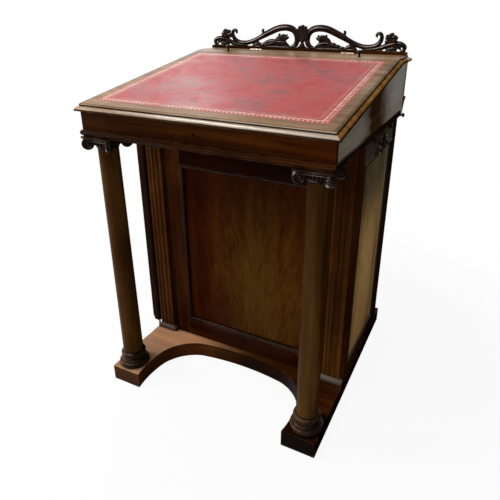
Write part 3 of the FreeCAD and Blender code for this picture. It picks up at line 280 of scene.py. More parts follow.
    def sideways(self) -> bpy.types.NodeSocket:
        """How far a face is turned to the object's left or right, from 0 to 1."""
        way = self.add("SeparateXYZ", {"Vector": self.add("TexCoord").outputs["Normal"]})
        return self.size_of(way.outputs[0])

    def dot(self, first: bpy.types.NodeSocket, second: object) -> bpy.types.NodeSocket:
        """The cosine of the angle between two directions."""
        return self.add("VectorMath", {0: first, 1: second}, operation="DOT_PRODUCT").outputs["Value"]

    def openness(self, reach: float) -> bpy.types.NodeSocket:
        """How open each spot is to its surroundings, within a reach in metres."""
        return self.add("AmbientOcclusion", {"Distance": reach}, samples=6).outputs["AO"]

    def seen(self) -> bpy.types.NodeSocket:
        """One where the eye looks, straight or by way of polish or glass."""
        path = self.add("LightPath").outputs
        return self.larger(self.larger(path["Is Camera Ray"], path["Is Glossy Ray"]),
                           path["Is Transmission Ray"])

    def off_sides(self, value: float) -> bpy.types.NodeSocket:
        """A value that fades to nothing on faces turned to the sides, where the polish is dry."""
        return self.level(self.sideways(), 0.45, 0.9, value, 0.0)

    def bump(self, height: bpy.types.NodeSocket, depth: float,
             strength: float = 1.0) -> bpy.types.NodeSocket:
        """Relief from a height.

        Args:
            height: The height's factor.
            depth: What a factor of one stands for, in metres.
            strength: Share of the relief.

        Returns:
            The normal's socket.
        """
        node = self.add("Bump", {"Height": height, "Distance": depth, "Strength": strength})
        return node.outputs["Normal"]

    def finish(self, **inputs: object) -> bpy.types.Material:
        """Close a material's tree with a surface.

        Args:
            **inputs: The surface's inputs, with underscores for spaces.

        Returns:
            The material.
        """
        named = {key.replace("_", " "): value for key, value in inputs.items()}
        self.add("OutputMaterial", {"Surface": self.add("BsdfPrincipled", named).outputs["BSDF"]})
        return self.owner


# ---------------------------------------------------------------- finishes


class Finish(Protocol):
    """Any finish: it has a name and makes its own material."""

    @property
    def name(self) -> str:
        """The finish's name."""

    def make(self) -> bpy.types.Material:
        """Build the material."""


class Grain(Enum):
    """Which way the grain of a board runs."""

    ACROSS = (0.045, 1.0, 1.0)
    DEEP = (1.0, 0.045, 1.0)
    UPRIGHT = (1.0, 1.0, 0.045)


@dataclass(frozen=True)
class PaintedLight:
    """Painted light or shade: a colour that comes in along an axis and is mixed or multiplied into a
    board's colour, where light falls brighter or dimmer across the desk.
    """

    axis: int
    start: float
    stop: float
    colour: Colour
    share: float = 1.0
    blend: str = "MULTIPLY"
    wander: float = 0.0


@dataclass(frozen=True)
class PolishedWood:
    """French-polished mahogany, with grain, open pores, soiling and painted shade in the corners,
    painted light and shade along its axes, and worn edges.
    """

    name: str
    dark: Colour
    middle: Colour
    light: Colour
    grain: Grain
    band_scale: float = 34
    pore_scale: float = 620
    rough: float = 0.3
    gloss: float = 0.02
    sheen: Colour = (1.0, 0.62, 0.34)
    wear: float = 0.5
    worn: Colour = (0.16, 0.075, 0.032)
    worn_width: float = 0.0022
    pore_share: float = 0.45
    relief: float = 0.00012
    # Strength, colour and reach of the soiling and painted shade that darken the corners.
    grime_and_shade: float = 0.75
    grime_and_shade_colour: Colour = (0.006, 0.003, 0.002)
    grime_and_shade_reach: float = 0.014
    shift: Point = (0, 0, 0)
    # Painted light and shade along the board's axes.
    fades: tuple[PaintedLight, ...] = ()

    def make(self) -> bpy.types.Material:
        """Build the material.

        Returns:
            The material.
        """
        tree = Tree.of_material(self.name)
        along = self.grain.value
        band = tree.noise(tree.place(along, self.shift), self.band_scale, 7, 0.6, 0.9)
        cloud = tree.noise(tree.place(shift=self.shift), 5.5, 3, 0.5, 0.4)
        colour = tree.ramp(tree.weighed((band, 0.62), (cloud, 0.38)),
                           [(0.36, self.dark), (0.5, self.middle), (0.64, self.light)])
        pores = tree.noise(tree.place(tuple(v * 0.6 if v < 1 else v for v in along), self.shift),
                           self.pore_scale, 3, 0.6)
        pore_mask = tree.level(pores, 0.54, 0.68)
        colour = tree.mix(tree.times(pore_mask, self.pore_share), colour,
                          tuple(v * self.pore_share for v in self.dark))
        colour = self.light_and_age(tree, colour)
        rough = tree.level(cloud, 0.3, 0.7, self.rough * 0.8, self.rough * 1.25)
        normal = tree.bump(tree.minus(band, tree.times(pore_mask, 0.6)), self.relief, 0.55)
        return tree.finish(Base_Color=colour, Roughness=rough, Normal=normal,
                           Specular_IOR_Level=self.shine(tree), Specular_Tint=self.sheen)

    def shine(self, tree: Tree) -> bpy.types.NodeSocket:
        """How glossy each spot is, as the shader's specular level."""
        return tree.off_sides(self.gloss)

    def light_and_age(self, tree: Tree, colour: bpy.types.NodeSocket) -> bpy.types.NodeSocket:
        """Lay the painted light and shade along the axes, darken the corners with soiling and painted
        shade, and lighten the rubbed edges.

        Args:
            tree: The material's tree.
            colour: The clean colour.

        Returns:
            The colour's socket, with its painted light and shade and its wear.
        """
        # Painted light and shade along the axes.
        for fade in self.fades:
            spot = tree.coordinate(fade.axis, fade.wander)
            share = tree.level(spot, fade.start, fade.stop, 0.0, fade.share)
            colour = tree.mix(share, colour, fade.colour, fade.blend)
        # Soiling and painted shade, where nearby faces close a spot in.
        if self.grime_and_shade:
            dirt_and_shade = tree.level(tree.openness(self.grime_and_shade_reach), 0.2, 0.85, self.grime_and_shade, 0.0)
            colour = tree.mix(dirt_and_shade, colour, self.grime_and_shade_colour)
        if self.wear:
            flat = tree.add("NewGeometry").outputs["Normal"]
            rounded = tree.add("Bevel", {"Radius": self.worn_width}, samples=4).outputs["Normal"]
            patch = tree.noise(tree.place(), 36, 4, 0.6)
            edge = tree.times(tree.level(tree.dot(flat, rounded), 0.99, 0.9),
                              tree.level(patch, 0.4, 0.62, 0.0, self.wear))
            colour = tree.mix(edge, colour, self.worn)
        return colour


@dataclass(frozen=True)
class FlameVeneer(PolishedWood):
    """Flame-figured veneer: a pale plume up the middle, feathering out to both sides."""

    centre: Point = (0.0, 0.0, 0.25)
    across_axis: int = 0
    spread: float = 0.11
    rise: float = 0.30
    fold_slope: float = 2.1
    sway: float = 0.05
    relief: float = 0.00006

    def make(self) -> bpy.types.Material:
        """Build the material.

        Returns:
            The material.
        """
        tree = Tree.of_material(self.name)
        split = tree.add("SeparateXYZ", {"Vector": tree.place(
            shift=tuple(-v for v in self.centre))})
        wander = tree.noise(tree.place(), 7, 3, 0.5)
        across = tree.plus(split.outputs[self.across_axis],
                           tree.times(tree.minus(wander, 0.5), self.sway))
        up = split.outputs[2]
        reach = tree.size_of(across)
        fold = tree.minus(up, tree.times(reach, self.fold_slope))
        feather = tree.add("CombineXYZ", {0: tree.times(reach, 1.7), 1: 0.0,
                                          2: tree.times(fold, 0.75)})
        plume = tree.noise(feather.outputs["Vector"], 44, 8, 0.66, 1.4)
        fibre = tree.noise(tree.place((1, 1, 0.04), self.shift), 190, 5, 0.6, 0.5)
        stripe = tree.noise(tree.place((1, 1, 0.1), self.shift), 19, 4, 0.55, 0.7)
        cloud = tree.noise(tree.place((1, 1, 0.6), self.shift), 12, 5, 0.6, 0.8)
        glow = tree.times(tree.level(reach, 0.0, self.spread, 1.0, 0.0),
                          tree.level(tree.size_of(up), 0.0, self.rise, 1.0, 0.15))
        figure = tree.times(tree.minus(plume, 0.5), glow)
        blend = tree.weighed((plume, 0.22), (fibre, 0.14), (stripe, 0.3), (cloud, 0.18),
                             (glow, 0.2), (figure, 0.5))
        colour = tree.ramp(blend, [(0.34, self.dark), (0.47, self.middle), (0.66, self.light)])
        colour = self.light_and_age(tree, colour)
        rough = tree.level(cloud, 0.3, 0.7, self.rough * 0.85, self.rough * 1.2)
        normal = tree.bump(fibre, self.relief, 0.4)
        return tree.finish(Base_Color=colour, Roughness=rough, Normal=normal,
                           Specular_IOR_Level=tree.off_sides(self.gloss),
                           Specular_Tint=self.sheen)


@dataclass(frozen=True)
class LidShape:
    """Where the lid's flat strip lies and ends, in metres, and how steeply its slope falls."""

    top: float = 0.7993
    break_line: float = 0.190
    slope: float = math.radians(9.65)


@dataclass(frozen=True)
class Band:
    """A stretch of depths under the lid's top: where it comes in, where it goes, its strength."""

    rise: tuple[float, float]
    fall: tuple[float, float]
    strength: float = 1.0

    def share(self, tree: Tree, depth: bpy.types.NodeSocket) -> bpy.types.NodeSocket:
        """Share of the stretch at a depth."""
        return tree.times(tree.level(depth, *self.rise, 0.0, self.strength),
                          tree.level(depth, *self.fall))


@dataclass(frozen=True)
class LidWood(PolishedWood):
    """The lid's mahogany: bleached on top, with painted shade in its quirks and under its ovolo, a
    painted highlight on the moulding's crests, a painted golden reflection on its side mouldings, and
    its front moulding polished.
    """

    shape: LidShape = LidShape()
    bead: Band = Band((-0.0008, -0.0013), (-0.0032, -0.0025), 0.7)
    ovolo: Band = Band((-0.0052, -0.0062), (-0.0112, -0.0094))
    moulding: Band = Band((-0.0008, -0.002), (-0.0138, -0.0125))
    # Painted light and shade on the moulding: shade in its quirks and under the ovolo, highlights on
    # its crests, less pale to the left, and golden reflection on the side mouldings.
    edge: Colour = (0.11, 0.08, 0.05)
    crest: Colour = (1.6, 2.3, 3.6)
    crest_left: Colour = (0.85, 0.8, 0.7)
    end: Colour = (1.5, 1.28, 0.7)
    moulding_gloss: float = 1.0
    strip_gloss: float = 0.3
    mitre: tuple[float, float] = (-0.1865, -0.1853)
    left_part: tuple[float, float] = (-0.22, 0.02)
    strip_part: tuple[float, float] = (-0.03, 0.01)
    top_edge: tuple[float, float] = (-0.0016, -0.0002)
    # A painted shadow line along each side of the top, where a bead's groove would fall: its place,
    # width and colour.
    shadow_line: float = 0.2748
    shadow_line_width: tuple[float, float] = (0.0004, 0.0013)
    scratch_and_shadow: Colour = (0.03, 0.014, 0.008)

    def depth(self, tree: Tree) -> tuple[bpy.types.NodeSocket, bpy.types.Node]:
        """Height over the top faces, and the place from the line where the slope begins.

        Args:
            tree: The material's tree.

        Returns:
            The height's socket and the place's node.
        """
        slope = self.shape.slope
        spot = tree.add("SeparateXYZ", {"Vector": tree.place(
            shift=(0, -self.shape.break_line, -self.shape.top))})
        over_slope = tree.minus(tree.times(spot.outputs[2], math.cos(slope)),
                                tree.times(spot.outputs[1], math.sin(slope)))
        return tree.larger(over_slope, spot.outputs[2]), spot

    def crests(self, tree: Tree, depth: bpy.types.NodeSocket) -> bpy.types.NodeSocket:
        """Share of the moulding's two round crests, its bead and its ovolo.

        Args:
            tree: The material's tree.
            depth: The height over the top faces.

        Returns:
            The share's socket.
        """
        return tree.larger(self.bead.share(tree, depth), self.ovolo.share(tree, depth))

    def flank(self, tree: Tree, spot: bpy.types.Node) -> bpy.types.NodeSocket:
        """Share of the side mouldings, behind the mitres of the front corners.

        Args:
            tree: The material's tree.
            spot: The place from the line where the slope begins.

        Returns:
            The share's socket.
        """
        behind = tree.plus(tree.size_of(spot.outputs[0]), spot.outputs[1])
        return tree.level(behind, *self.mitre)

    def shine(self, tree: Tree) -> bpy.types.NodeSocket:
        """How glossy each spot is.

        Args:
            tree: The material's tree.

        Returns:
            The shader's specular level.
        """
        depth, spot = self.depth(tree)
        flat = tree.level(spot.outputs[1], *self.strip_part, self.gloss, self.strip_gloss)
        moulded = tree.level(self.crests(tree, depth), 0, 1, 0.05, self.moulding_gloss)
        rounded = tree.times(moulded, tree.level(self.flank(tree, spot), 1, 0))
        return tree.plus(tree.times(flat, tree.level(depth, -0.003, -0.0008)),
                         tree.times(rounded, self.moulding.share(tree, depth)))

    def light_and_age(self, tree: Tree, colour: bpy.types.NodeSocket) -> bpy.types.NodeSocket:
        """Keep the bleached colour on the top faces only, paint light and shade on the moulding and a
        shadow line along each side of the top, then age them.

        Args:
            tree: The material's tree.
            colour: The clean colour.

        Returns:
            The colour's socket, with its painted light and shade and its wear.
        """
        depth, spot = self.depth(tree)
        # Painted highlight on the crests and painted golden reflection behind the mitres; painted
        # shade on the rest of the moulding.
        crest = tree.mix(tree.level(spot.outputs[0], *self.left_part), self.crest_left, self.crest)
        crest = tree.mix(self.flank(tree, spot), crest, self.end)
        share = tree.mix(self.crests(tree, depth), self.edge, crest)
        edge = tree.mix(1.0, colour, share, "MULTIPLY")
        # Painted shadow line along each side of the top.
        off_line = tree.size_of(tree.minus(tree.size_of(spot.outputs[0]), self.shadow_line))
        colour = tree.mix(tree.level(off_line, *self.shadow_line_width, 0.8, 0.0), colour, self.scratch_and_shadow)
        top_share = tree.level(depth, *self.top_edge)
        return super().light_and_age(tree, tree.mix(top_share, edge, colour))


@dataclass(frozen=True)
class PatchyWood(PolishedWood):
    """Mahogany with a painted grey reflection that grows towards the rear of a board and painted
    shade towards its front, its gloss a little higher at both ends than between them.
    """

    # Painted shade towards the front and painted reflection towards the rear, along the board's
    # depth.
    front: PaintedLight = PaintedLight(1, -0.17, -0.04, (0.4, 0.27, 0.2), wander=0.2)
    rear: PaintedLight = PaintedLight(1, 0.02, 0.16, (2.4, 3.3, 4.2), wander=0.2)
    fades: tuple[PaintedLight, ...] = (front, rear)
    front_gloss: float = 0.02
    rear_gloss: float = 0.03

    def shine(self, tree: Tree) -> bpy.types.NodeSocket:
        """How glossy each spot is, as the shader's specular level."""
        spot = tree.coordinate(self.front.axis, self.front.wander)
        return tree.plus(
            tree.level(spot, self.front.start, self.front.stop, self.front_gloss, 0.0),
            tree.level(spot, self.rear.start, self.rear.stop, 0.0, self.rear_gloss))


@dataclass(frozen=True)
class CarvedWood:
    """Mahogany carving, blackened by age, brown where rubbed, with a painted highlight on faces
    turned up and to the front-left, and soiling and painted shade in its hollows.
    """

    name: str
    black: Colour = (0.005, 0.0026, 0.0018)
    brown: Colour = (0.030, 0.013, 0.007)
    # Colour of the painted highlight, and the way that the faces which carry it are turned.
    painted_highlight: Colour = (0.40, 0.335, 0.30)
    painted_highlight_way: Point = (-0.35, -0.42, 0.84)
    # Colour of the soiling and painted shade in the hollows.
    grime_and_shade: Colour = (0.003, 0.002, 0.0018)
    hollow: float = 0.006
    relief: float = 0.0004
    rough: float = 0.2
    gloss: float = 0.07
    sheen: Colour = (1.0, 0.9, 0.8)

    def make(self) -> bpy.types.Material:
        """Build the material.

        Returns:
            The material.
        """
        tree = Tree.of_material(self.name)
        mottle = tree.noise(tree.place(), 60, 5, 0.6, 0.3)
        grain = tree.noise(tree.place((0.1, 1, 1)), 260, 4, 0.6)
        openness = tree.openness(self.hollow)
        rub = tree.times(tree.level(openness, 0.55, 1.0), tree.level(mottle, 0.38, 0.66))
        colour = tree.mix(rub, self.black, self.brown)
        # Painted highlight on faces turned up and to the front-left, kept out of the hollows.
        turned_up = tree.dot(tree.add("TexCoord").outputs["Normal"], self.painted_highlight_way)
        crest = tree.times(tree.level(turned_up, 0.76, 0.97),
                           tree.level(mottle, 0.3, 0.56, 0.25, 0.9))
        crest = tree.times(crest, tree.level(openness, 0.3, 0.8))
        colour = tree.mix(crest, colour, self.painted_highlight)
        # Soiling and painted shade in the hollows.
        colour = tree.mix(tree.level(openness, 0.1, 0.5, 0.7, 0.0), colour, self.grime_and_shade)
        rough = tree.level(mottle, 0.3, 0.7, self.rough * 0.8, self.rough * 1.4)
        normal = tree.bump(tree.plus(mottle, tree.times(grain, 0.4)), self.relief, 0.4)
        return tree.finish(Base_Color=colour, Roughness=rough, Normal=normal,
                           Specular_IOR_Level=tree.off_sides(self.gloss),
                           Specular_Tint=self.sheen)


@dataclass(frozen=True)
class PlainWood:
    """Dry secondary wood with no polish, faced with mahogany on the drawers' side."""

    name: str
    pale: Colour = (0.30, 0.165, 0.08)
    dark: Colour = (0.15, 0.07, 0.032)
    facing: Colour = (0.16, 0.06, 0.02)
    facing_line: float = -0.266
    facing_depth: float = 0.003
    # Colour and reach of the soiling and painted shade in the corners.
    grime_and_shade: Colour = (0.03, 0.015, 0.008)
    grime_and_shade_reach: float = 0.02
    relief: float = 0.0002
    grain: Grain = Grain.DEEP

    def make(self) -> bpy.types.Material:
        """Build the material.

        Returns:
            The material.
        """
        tree = Tree.of_material(self.name)
        band = tree.noise(tree.place(self.grain.value), 60, 7, 0.62, 1.2)
        stain = tree.noise(tree.place(), 11, 4, 0.6, 0.5)
        colour = tree.ramp(band, [(0.34, self.dark), (0.66, self.pale)])
        colour = tree.mix(tree.level(stain, 0.5, 0.8, 0.0, 0.5), colour,
                          tuple(v * 0.5 for v in self.dark))
        faced = tree.level(tree.coordinate(0), self.facing_line,
                           self.facing_line - self.facing_depth)
        colour = tree.mix(faced, colour, self.facing, "MULTIPLY")
        # Soiling and painted shade in the corners.
        dirt_and_shade = tree.level(tree.openness(self.grime_and_shade_reach), 0.2, 0.8, 0.6, 0.0)
        colour = tree.mix(dirt_and_shade, colour, self.grime_and_shade)
        rough = tree.level(stain, 0.3, 0.7, 0.55, 0.75)
        return tree.finish(Base_Color=colour, Roughness=rough,
                           Normal=tree.bump(band, self.relief, 0.5))


@dataclass(frozen=True)
class Brass:
    """Old brass, dull and spotted, pinker where the lacquer has gone."""

    name: str
    bright: Colour = (0.50, 0.41, 0.34)
    dull: Colour = (0.22, 0.165, 0.125)
    relief: float = 0.00005

    def make(self) -> bpy.types.Material:
        """Build the material.

        Returns:
            The material.
        """
        tree = Tree.of_material(self.name)
        cloud = tree.noise(tree.place(), 140, 5, 0.65, 0.3)
        scratch_and_shadow = tree.noise(tree.place((0.08, 1, 1)), 1400, 3, 0.6)
        colour = tree.ramp(cloud, [(0.36, self.dull), (0.6, self.bright)])
        rough = tree.level(cloud, 0.3, 0.7, 0.52, 0.3)
        return tree.finish(Base_Color=colour, Roughness=rough, Metallic=1.0,
                           Normal=tree.bump(scratch_and_shadow, self.relief, 0.4))


@dataclass(frozen=True)
class ToolingBand:
    """Gilt lines and ticks, each an inset from the leather's edge in metres."""

    main_line: float = 0.0120
    main_half: float = 0.0011
    inner_line: float = 0.0188
    inner_half: float = 0.0004
    inner_gap: float = 0.0042
    tick_pitch: float = 0.0088
    tick_low: float = 0.0028
    tick_high: float = 0.0086
    tick_line: float = 0.0098
    soft: float = 0.0006
    run_start: float = 10.0
    faint: float = 0.4
    tick_share: float = 0.55


@dataclass(frozen=True)
class RedLeather:
    """Glazed red hide, mottled nearly black, scuffed, with a gilt tooled border.

    The piece's UV map gives the distance from the middle of the sheet, in metres.
    """

    name: str
    half_across: float
    half_along: float
    red: Colour = (0.27, 0.012, 0.014)
    bright: Colour = (0.43, 0.032, 0.028)
    dark: Colour = (0.090, 0.004, 0.006)
    scuffed: Colour = (0.66, 0.33, 0.26)
    gilt: Colour = (0.92, 0.76, 0.58)
    gloss: float = 0.34
    relief: float = 0.00022
    tooling: ToolingBand = ToolingBand()

    def make(self) -> bpy.types.Material:
        """Build the material.

        Returns:
            The material.
        """
        tree = Tree.of_material(self.name)
        flat = tree.add("UVMap", uv_map="Hide").outputs["UV"]
        cloud = tree.noise(flat, 11, 9, 0.68, 0.8)
        streak = tree.noise(tree.place((0.5, 1.4, 1), turn=(0, 0, 0.5), source=flat),
                            38, 8, 0.7, 1.2)
        colour = tree.ramp(tree.weighed((cloud, 0.6), (streak, 0.4)),
                           [(0.34, self.dark), (0.44, self.red), (0.53, self.bright),
                            (0.66, self.red)])
        inset, tick_run = self.insets(tree, flat)
        rim = tree.level(inset, 0.003, 0.012, 0.75, 0.0)
        colour = tree.mix(rim, colour, self.bright)
        grain = tree.add("TexVoronoi", {"Vector": flat, "Scale": 620.0},
                         feature="SMOOTH_F1").outputs["Distance"]
        scuff = tree.noise(tree.place((1, 0.22, 1), turn=(0, 0, -0.9), source=flat),
                           170, 5, 0.7, 0.6)
        colour = tree.mix(tree.level(scuff, 0.61, 0.74, 0.0, 0.65), colour, self.scuffed)
        gilding = self.gilding(tree, inset, tick_run, streak)
        colour = tree.mix(gilding, colour, self.gilt)
        rough = tree.level(cloud, 0.35, 0.65, 0.36, 0.5)
        height = tree.minus(tree.times(grain, 0.5), tree.times(gilding, 0.8))
        return tree.finish(Base_Color=colour, Roughness=rough,
                           Normal=tree.bump(height, self.relief, 0.5),
                           Specular_IOR_Level=self.gloss)

    def insets(self, tree: Tree, flat: bpy.types.NodeSocket
               ) -> tuple[bpy.types.NodeSocket, bpy.types.NodeSocket]:
        """Distance from the sheet's edge, and the run along the nearest edge.

        Args:
            tree: The material's tree.
            flat: The sheet's coordinates.

        Returns:
            The sockets of the two distances.
        """
        split = tree.add("SeparateXYZ", {"Vector": flat})
        side = tree.minus(self.half_across, tree.size_of(split.outputs[0]))
        end = tree.minus(self.half_along, tree.size_of(split.outputs[1]))
        inset = tree.math("MINIMUM", side, end)
        on_side = tree.math("LESS_THAN", side, end)
        run = tree.plus(tree.times(on_side, split.outputs[1]),
                        tree.times(tree.minus(1.0, on_side), split.outputs[0]))
        return inset, run

    def gilding(self, tree: Tree, inset: bpy.types.NodeSocket, run: bpy.types.NodeSocket,
                rub: bpy.types.NodeSocket) -> bpy.types.NodeSocket:
        """Share of gold that is left at each spot.

        Args:
            tree: The material's tree.
            inset: Distance from the sheet's edge.
            run: Distance along the nearest edge.
            rub: What has rubbed the gold away.

        Returns:
            The share's socket.
        """
        band = self.tooling

        def line(at: float, half: float) -> bpy.types.NodeSocket:
            """A tooled line at an inset."""
            away = tree.size_of(tree.minus(inset, at))
            return tree.level(away, half * 0.7, half * 1.5, 1.0, 0.0)

        def off_middle(run_along: bpy.types.NodeSocket) -> bpy.types.NodeSocket:
            """How far a spot is from the middle of its pitch, as a share of the pitch."""
            return tree.size_of(tree.minus(tree.math("FRACT", run_along), 0.5))

        along = tree.math("DIVIDE", tree.plus(run, band.run_start), band.tick_pitch)
        tooth = tree.level(tree.times(off_middle(along), 2.0), 0.42, 0.62)
        inside = tree.times(
            tree.level(inset, band.tick_low - band.soft, band.tick_low),
            tree.level(inset, band.tick_high, band.tick_high + band.soft, 1.0, 0.0))
        beads = tree.level(off_middle(tree.times(along, 2.0)), 0.1, 0.4, 0.55, 1.0)
        lines = tree.times(line(band.main_line, band.main_half), beads)
        for spot in (band.inner_line, band.inner_line + band.inner_gap, band.tick_line):
            lines = tree.larger(lines, tree.times(line(spot, band.inner_half), band.faint))
        gold = tree.larger(lines, tree.times(tree.times(tooth, inside), band.tick_share))
        return tree.times(gold, tree.level(rub, 0.38, 0.54, 0.4, 1.0))


# ---------------------------------------------------------------- shop tools


@dataclass
class Bench:
    """Where finished pieces are set down: on the frame's bodies, under its names."""

    nodes: dict[str, bpy.types.Object]
    finishes: dict[str, bpy.types.Material] = field(default_factory=dict)

    def material(self, finish: Finish) -> bpy.types.Material:
        """The material of a finish, built the first time it is asked for.

        Args:
            finish: The finish.

        Returns:
            Its material.
        """
        if finish.name not in self.finishes:
            self.finishes[finish.name] = finish.make()
            LOG.info("finish %s", finish.name)
        return self.finishes[finish.name]

    def dress(self, finish: Finish, *names: str) -> None:
        """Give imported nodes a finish.

        Args:
            finish: The finish.
            *names: The nodes.
        """
        for name in names:
            data = self.nodes[name].data
            data.materials.clear()
            data.materials.append(self.material(finish))
            LOG.info("dressed %s", name)

    def set_down(self, name: str, bm: bmesh.types.BMesh, body: str, finish: Finish,
                 replaces: str, crease: float = SHARP_PAST) -> bpy.types.Object:
        """Turn a finished mesh into a piece that rides a body.

        Args:
            name: The piece's name.
            bm: Its mesh, which is freed.
            body: The body that it rides.
            finish: Its finish.
            replaces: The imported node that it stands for.
            crease: Angle in radians past which an edge stays sharp.

        Returns:
            The piece's object.
        """
        bmesh.ops.recalc_face_normals(bm, faces=bm.faces)
        mesh = bpy.data.meshes.new(name)
        bm.to_mesh(mesh)
        bm.free()
        mesh.polygons.foreach_set("use_smooth", [True] * len(mesh.polygons))
        mesh.set_sharp_from_angle(angle=crease)
        mesh.materials.append(self.material(finish))
        piece = bpy.data.objects.new(name, mesh)
        bpy.context.scene.collection.objects.link(piece)
        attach(piece, body)
        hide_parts(replaces)
        LOG.info("piece %s: %d faces", name, len(mesh.polygons))
        return piece


def new_verts(made: dict) -> list[bmesh.types.BMVert]:
    """The vertices among what an operator made."""
    return [item for item in made.get("verts", made.get("geom", []))
            if isinstance(item, bmesh.types.BMVert)]


def edges_of(verts: list[bmesh.types.BMVert]) -> list[bmesh.types.BMEdge]:
    """The edges that meet at vertices, each once and in a lasting order."""
    return list(dict.fromkeys(edge for vert in verts for edge in vert.link_edges))


def extrude_rim(bm: bmesh.types.BMesh, rim: list[bmesh.types.BMEdge]
                ) -> tuple[list[bmesh.types.BMVert], list[bmesh.types.BMEdge]]:
    """Draw a wall out of a closed rim, before its far rim is moved.

    Args:
        bm: The mesh.
        rim: The rim's edges.

    Returns:
        The far rim's vertices and edges.
    """
    made = bmesh.ops.extrude_edge_only(bm, edges=rim)
    verts = new_verts(made)
    known = set(verts)
    return verts, [item for item in made["geom"] if isinstance(item, bmesh.types.BMEdge)
                   and known.issuperset(item.verts)]


def smooth_line(points: list[tuple[float, ...]], steps: int) -> list[tuple[float, ...]]:
    """Points of a smooth line through given points, with whatever they carry.

    Args:
        points: The given points, as equally long rows of numbers.
        steps: Points between each pair.

    Returns:
        The line's points.
    """
    ends = [tuple(2 * a - b for a, b in zip(points[0], points[1]))]
    tail = [tuple(2 * a - b for a, b in zip(points[-1], points[-2]))]
    rows = ends + list(points) + tail
    line = []
    for index in range(1, len(rows) - 2):
        before, start, stop, after = rows[index - 1:index + 3]
        for step in range(steps):
            t = step / steps
            line.append(tuple(
                0.5 * (2 * s + (e - b) * t + (2 * b - 5 * s + 4 * e - a) * t * t
                       + (3 * s - b - 3 * e + a) * t ** 3)
                for b, s, e, a in zip(before, start, stop, after)))
    line.append(tuple(points[-1]))
    return line


def sweep(bm: bmesh.types.BMesh, stations: list[Matrix], segments: int = 16,
          reeds: int = 0, reed_depth: float = 0.16) -> None:
    """Carry a round or reeded section through stations, closed at both ends.

    Args:
        bm: The mesh to add to.
        stations: Where the section stands, each with its width and depth as scale.
        segments: Points round the section.
        reeds: Reeds across the section's face.
        reed_depth: Their depth, as a share of the section's.
    """
    ring = bmesh.ops.create_circle(bm, cap_ends=False, segments=segments, radius=1)["verts"]
    for vert in ring:
        if reeds:
            wave = math.cos(math.pi * reeds * vert.co.x)
            vert.co.y *= 1 - reed_depth + reed_depth * wave * (1 if reeds % 2 == 0 else -1)
    edges = edges_of(ring)
    bmesh.ops.edgeloop_fill(bm, edges=edges)
    bmesh.ops.transform(bm, matrix=stations[0], verts=ring)
    for here, there in zip(stations, stations[1:]):
        verts, edges = extrude_rim(bm, edges)
        bmesh.ops.transform(bm, matrix=there @ here.inverted(), verts=verts)
    bmesh.ops.edgeloop_fill(bm, edges=edges)


def turned(bm: bmesh.types.BMesh, profile: list[tuple[float, float]], place: Matrix,
           steps: int = 48) -> list[bmesh.types.BMVert]:
    """Turn a profile on the lathe.

    Args:
        bm: The mesh to add to.
        profile: Radius and height of each point, in metres, from the axis and back to it.
        place: Where the turning's own Z axis stands.
        steps: Flats round it.

    Returns:
        The turning's vertices.
    """
    line = [bm.verts.new((radius, 0, height)) for radius, height in profile]
    edges = [bm.edges.new(pair) for pair in zip(line, line[1:])]
    before = set(bm.verts) - set(line)
    bmesh.ops.spin(bm, geom=line + edges, axis=(0, 0, 1), cent=(0, 0, 0), steps=steps,
                   angle=math.tau, use_merge=True)
    verts = [vert for vert in bm.verts if vert not in before]
    bmesh.ops.remove_doubles(bm, verts=verts, dist=1e-6)
    verts = [vert for vert in bm.verts if vert not in before]
    bmesh.ops.transform(bm, matrix=place, verts=verts)
    return verts


def block(bm: bmesh.types.BMesh, low: Point, high: Point, round_off: float = 0.0,
          segments: int = 2) -> list[bmesh.types.BMVert]:
    """A board with rounded edges.

    Args:
        bm: The mesh to add to.
        low: Its lowest corner.
        high: Its highest corner.
        round_off: Radius of its edges.
        segments: Facets of each rounded edge.

    Returns:
        The board's vertices.
    """
    size = Vector(high) - Vector(low)
    middle = (Vector(high) + Vector(low)) / 2
    place = Matrix.Translation(middle) @ Matrix.Diagonal((*size, 1))
    before = set(bm.verts)
    verts = bmesh.ops.create_cube(bm, size=1, matrix=place)["verts"]
    if round_off:
        bmesh.ops.bevel(bm, geom=edges_of(verts), offset=round_off, offset_type="OFFSET",
                        affect="EDGES", segments=segments, profile=0.5, material=-1)
    return [vert for vert in bm.verts if vert not in before]


def pebble(bm: bmesh.types.BMesh, centre: Vector, radii: Point, turn: float = 0.0,
           place: Matrix | None = None) -> None:
    """A rounded lump of carving.

    Args:
        bm: The mesh to add to.
        centre: Its middle.
        radii: Its reach along each axis.
        turn: Its turn about the Y axis, in radians.
        place: The frame that all this is in, when it is not the mesh's own.
    """
    place = ((place or Matrix.Identity(4)) @ Matrix.Translation(centre)
             @ Matrix.Rotation(turn, 4, "Y") @ Matrix.Diagonal((*radii, 1)))
    bmesh.ops.create_uvsphere(bm, u_segments=16, v_segments=10, radius=1, matrix=place)


# ---------------------------------------------------------------- carving


@dataclass(frozen=True)
class Scroll:
    """A carved scroll: its middle line as (x, height, half width) in mm, and its modelling."""

    name: str
    points: list[tuple[float, float, float]]
    proud: float
    reeds: int = 2
    lobes: float = 0.0
    lobe_count: float = 0.0


def station(x: float, height: float, ahead: Vector, half: float, proud: float) -> Matrix:
    """Where a scroll's section stands, facing along its line.

    Args:
        x: Its place across.
        height: Its height.
        ahead: The way the line runs.
        half: Half the section's width.
        proud: Half its depth.

    Returns:
        The section's matrix.
    """
    across = Vector((-ahead.z, 0, ahead.x))
    turn = Matrix((across * half, Vector((0, proud, 0)), ahead)).transposed().to_4x4()
    return Matrix.Translation((x, 0, height)) @ turn


def ahead_at(line: list[tuple[float, ...]], index: int) -> Vector:
    """The way a line of (x, height, ...) rows runs at one of them."""
    before, after = line[max(index - 1, 0)], line[min(index + 1, len(line) - 1)]
    return Vector((after[0] - before[0], 0, after[1] - before[1])).normalized()


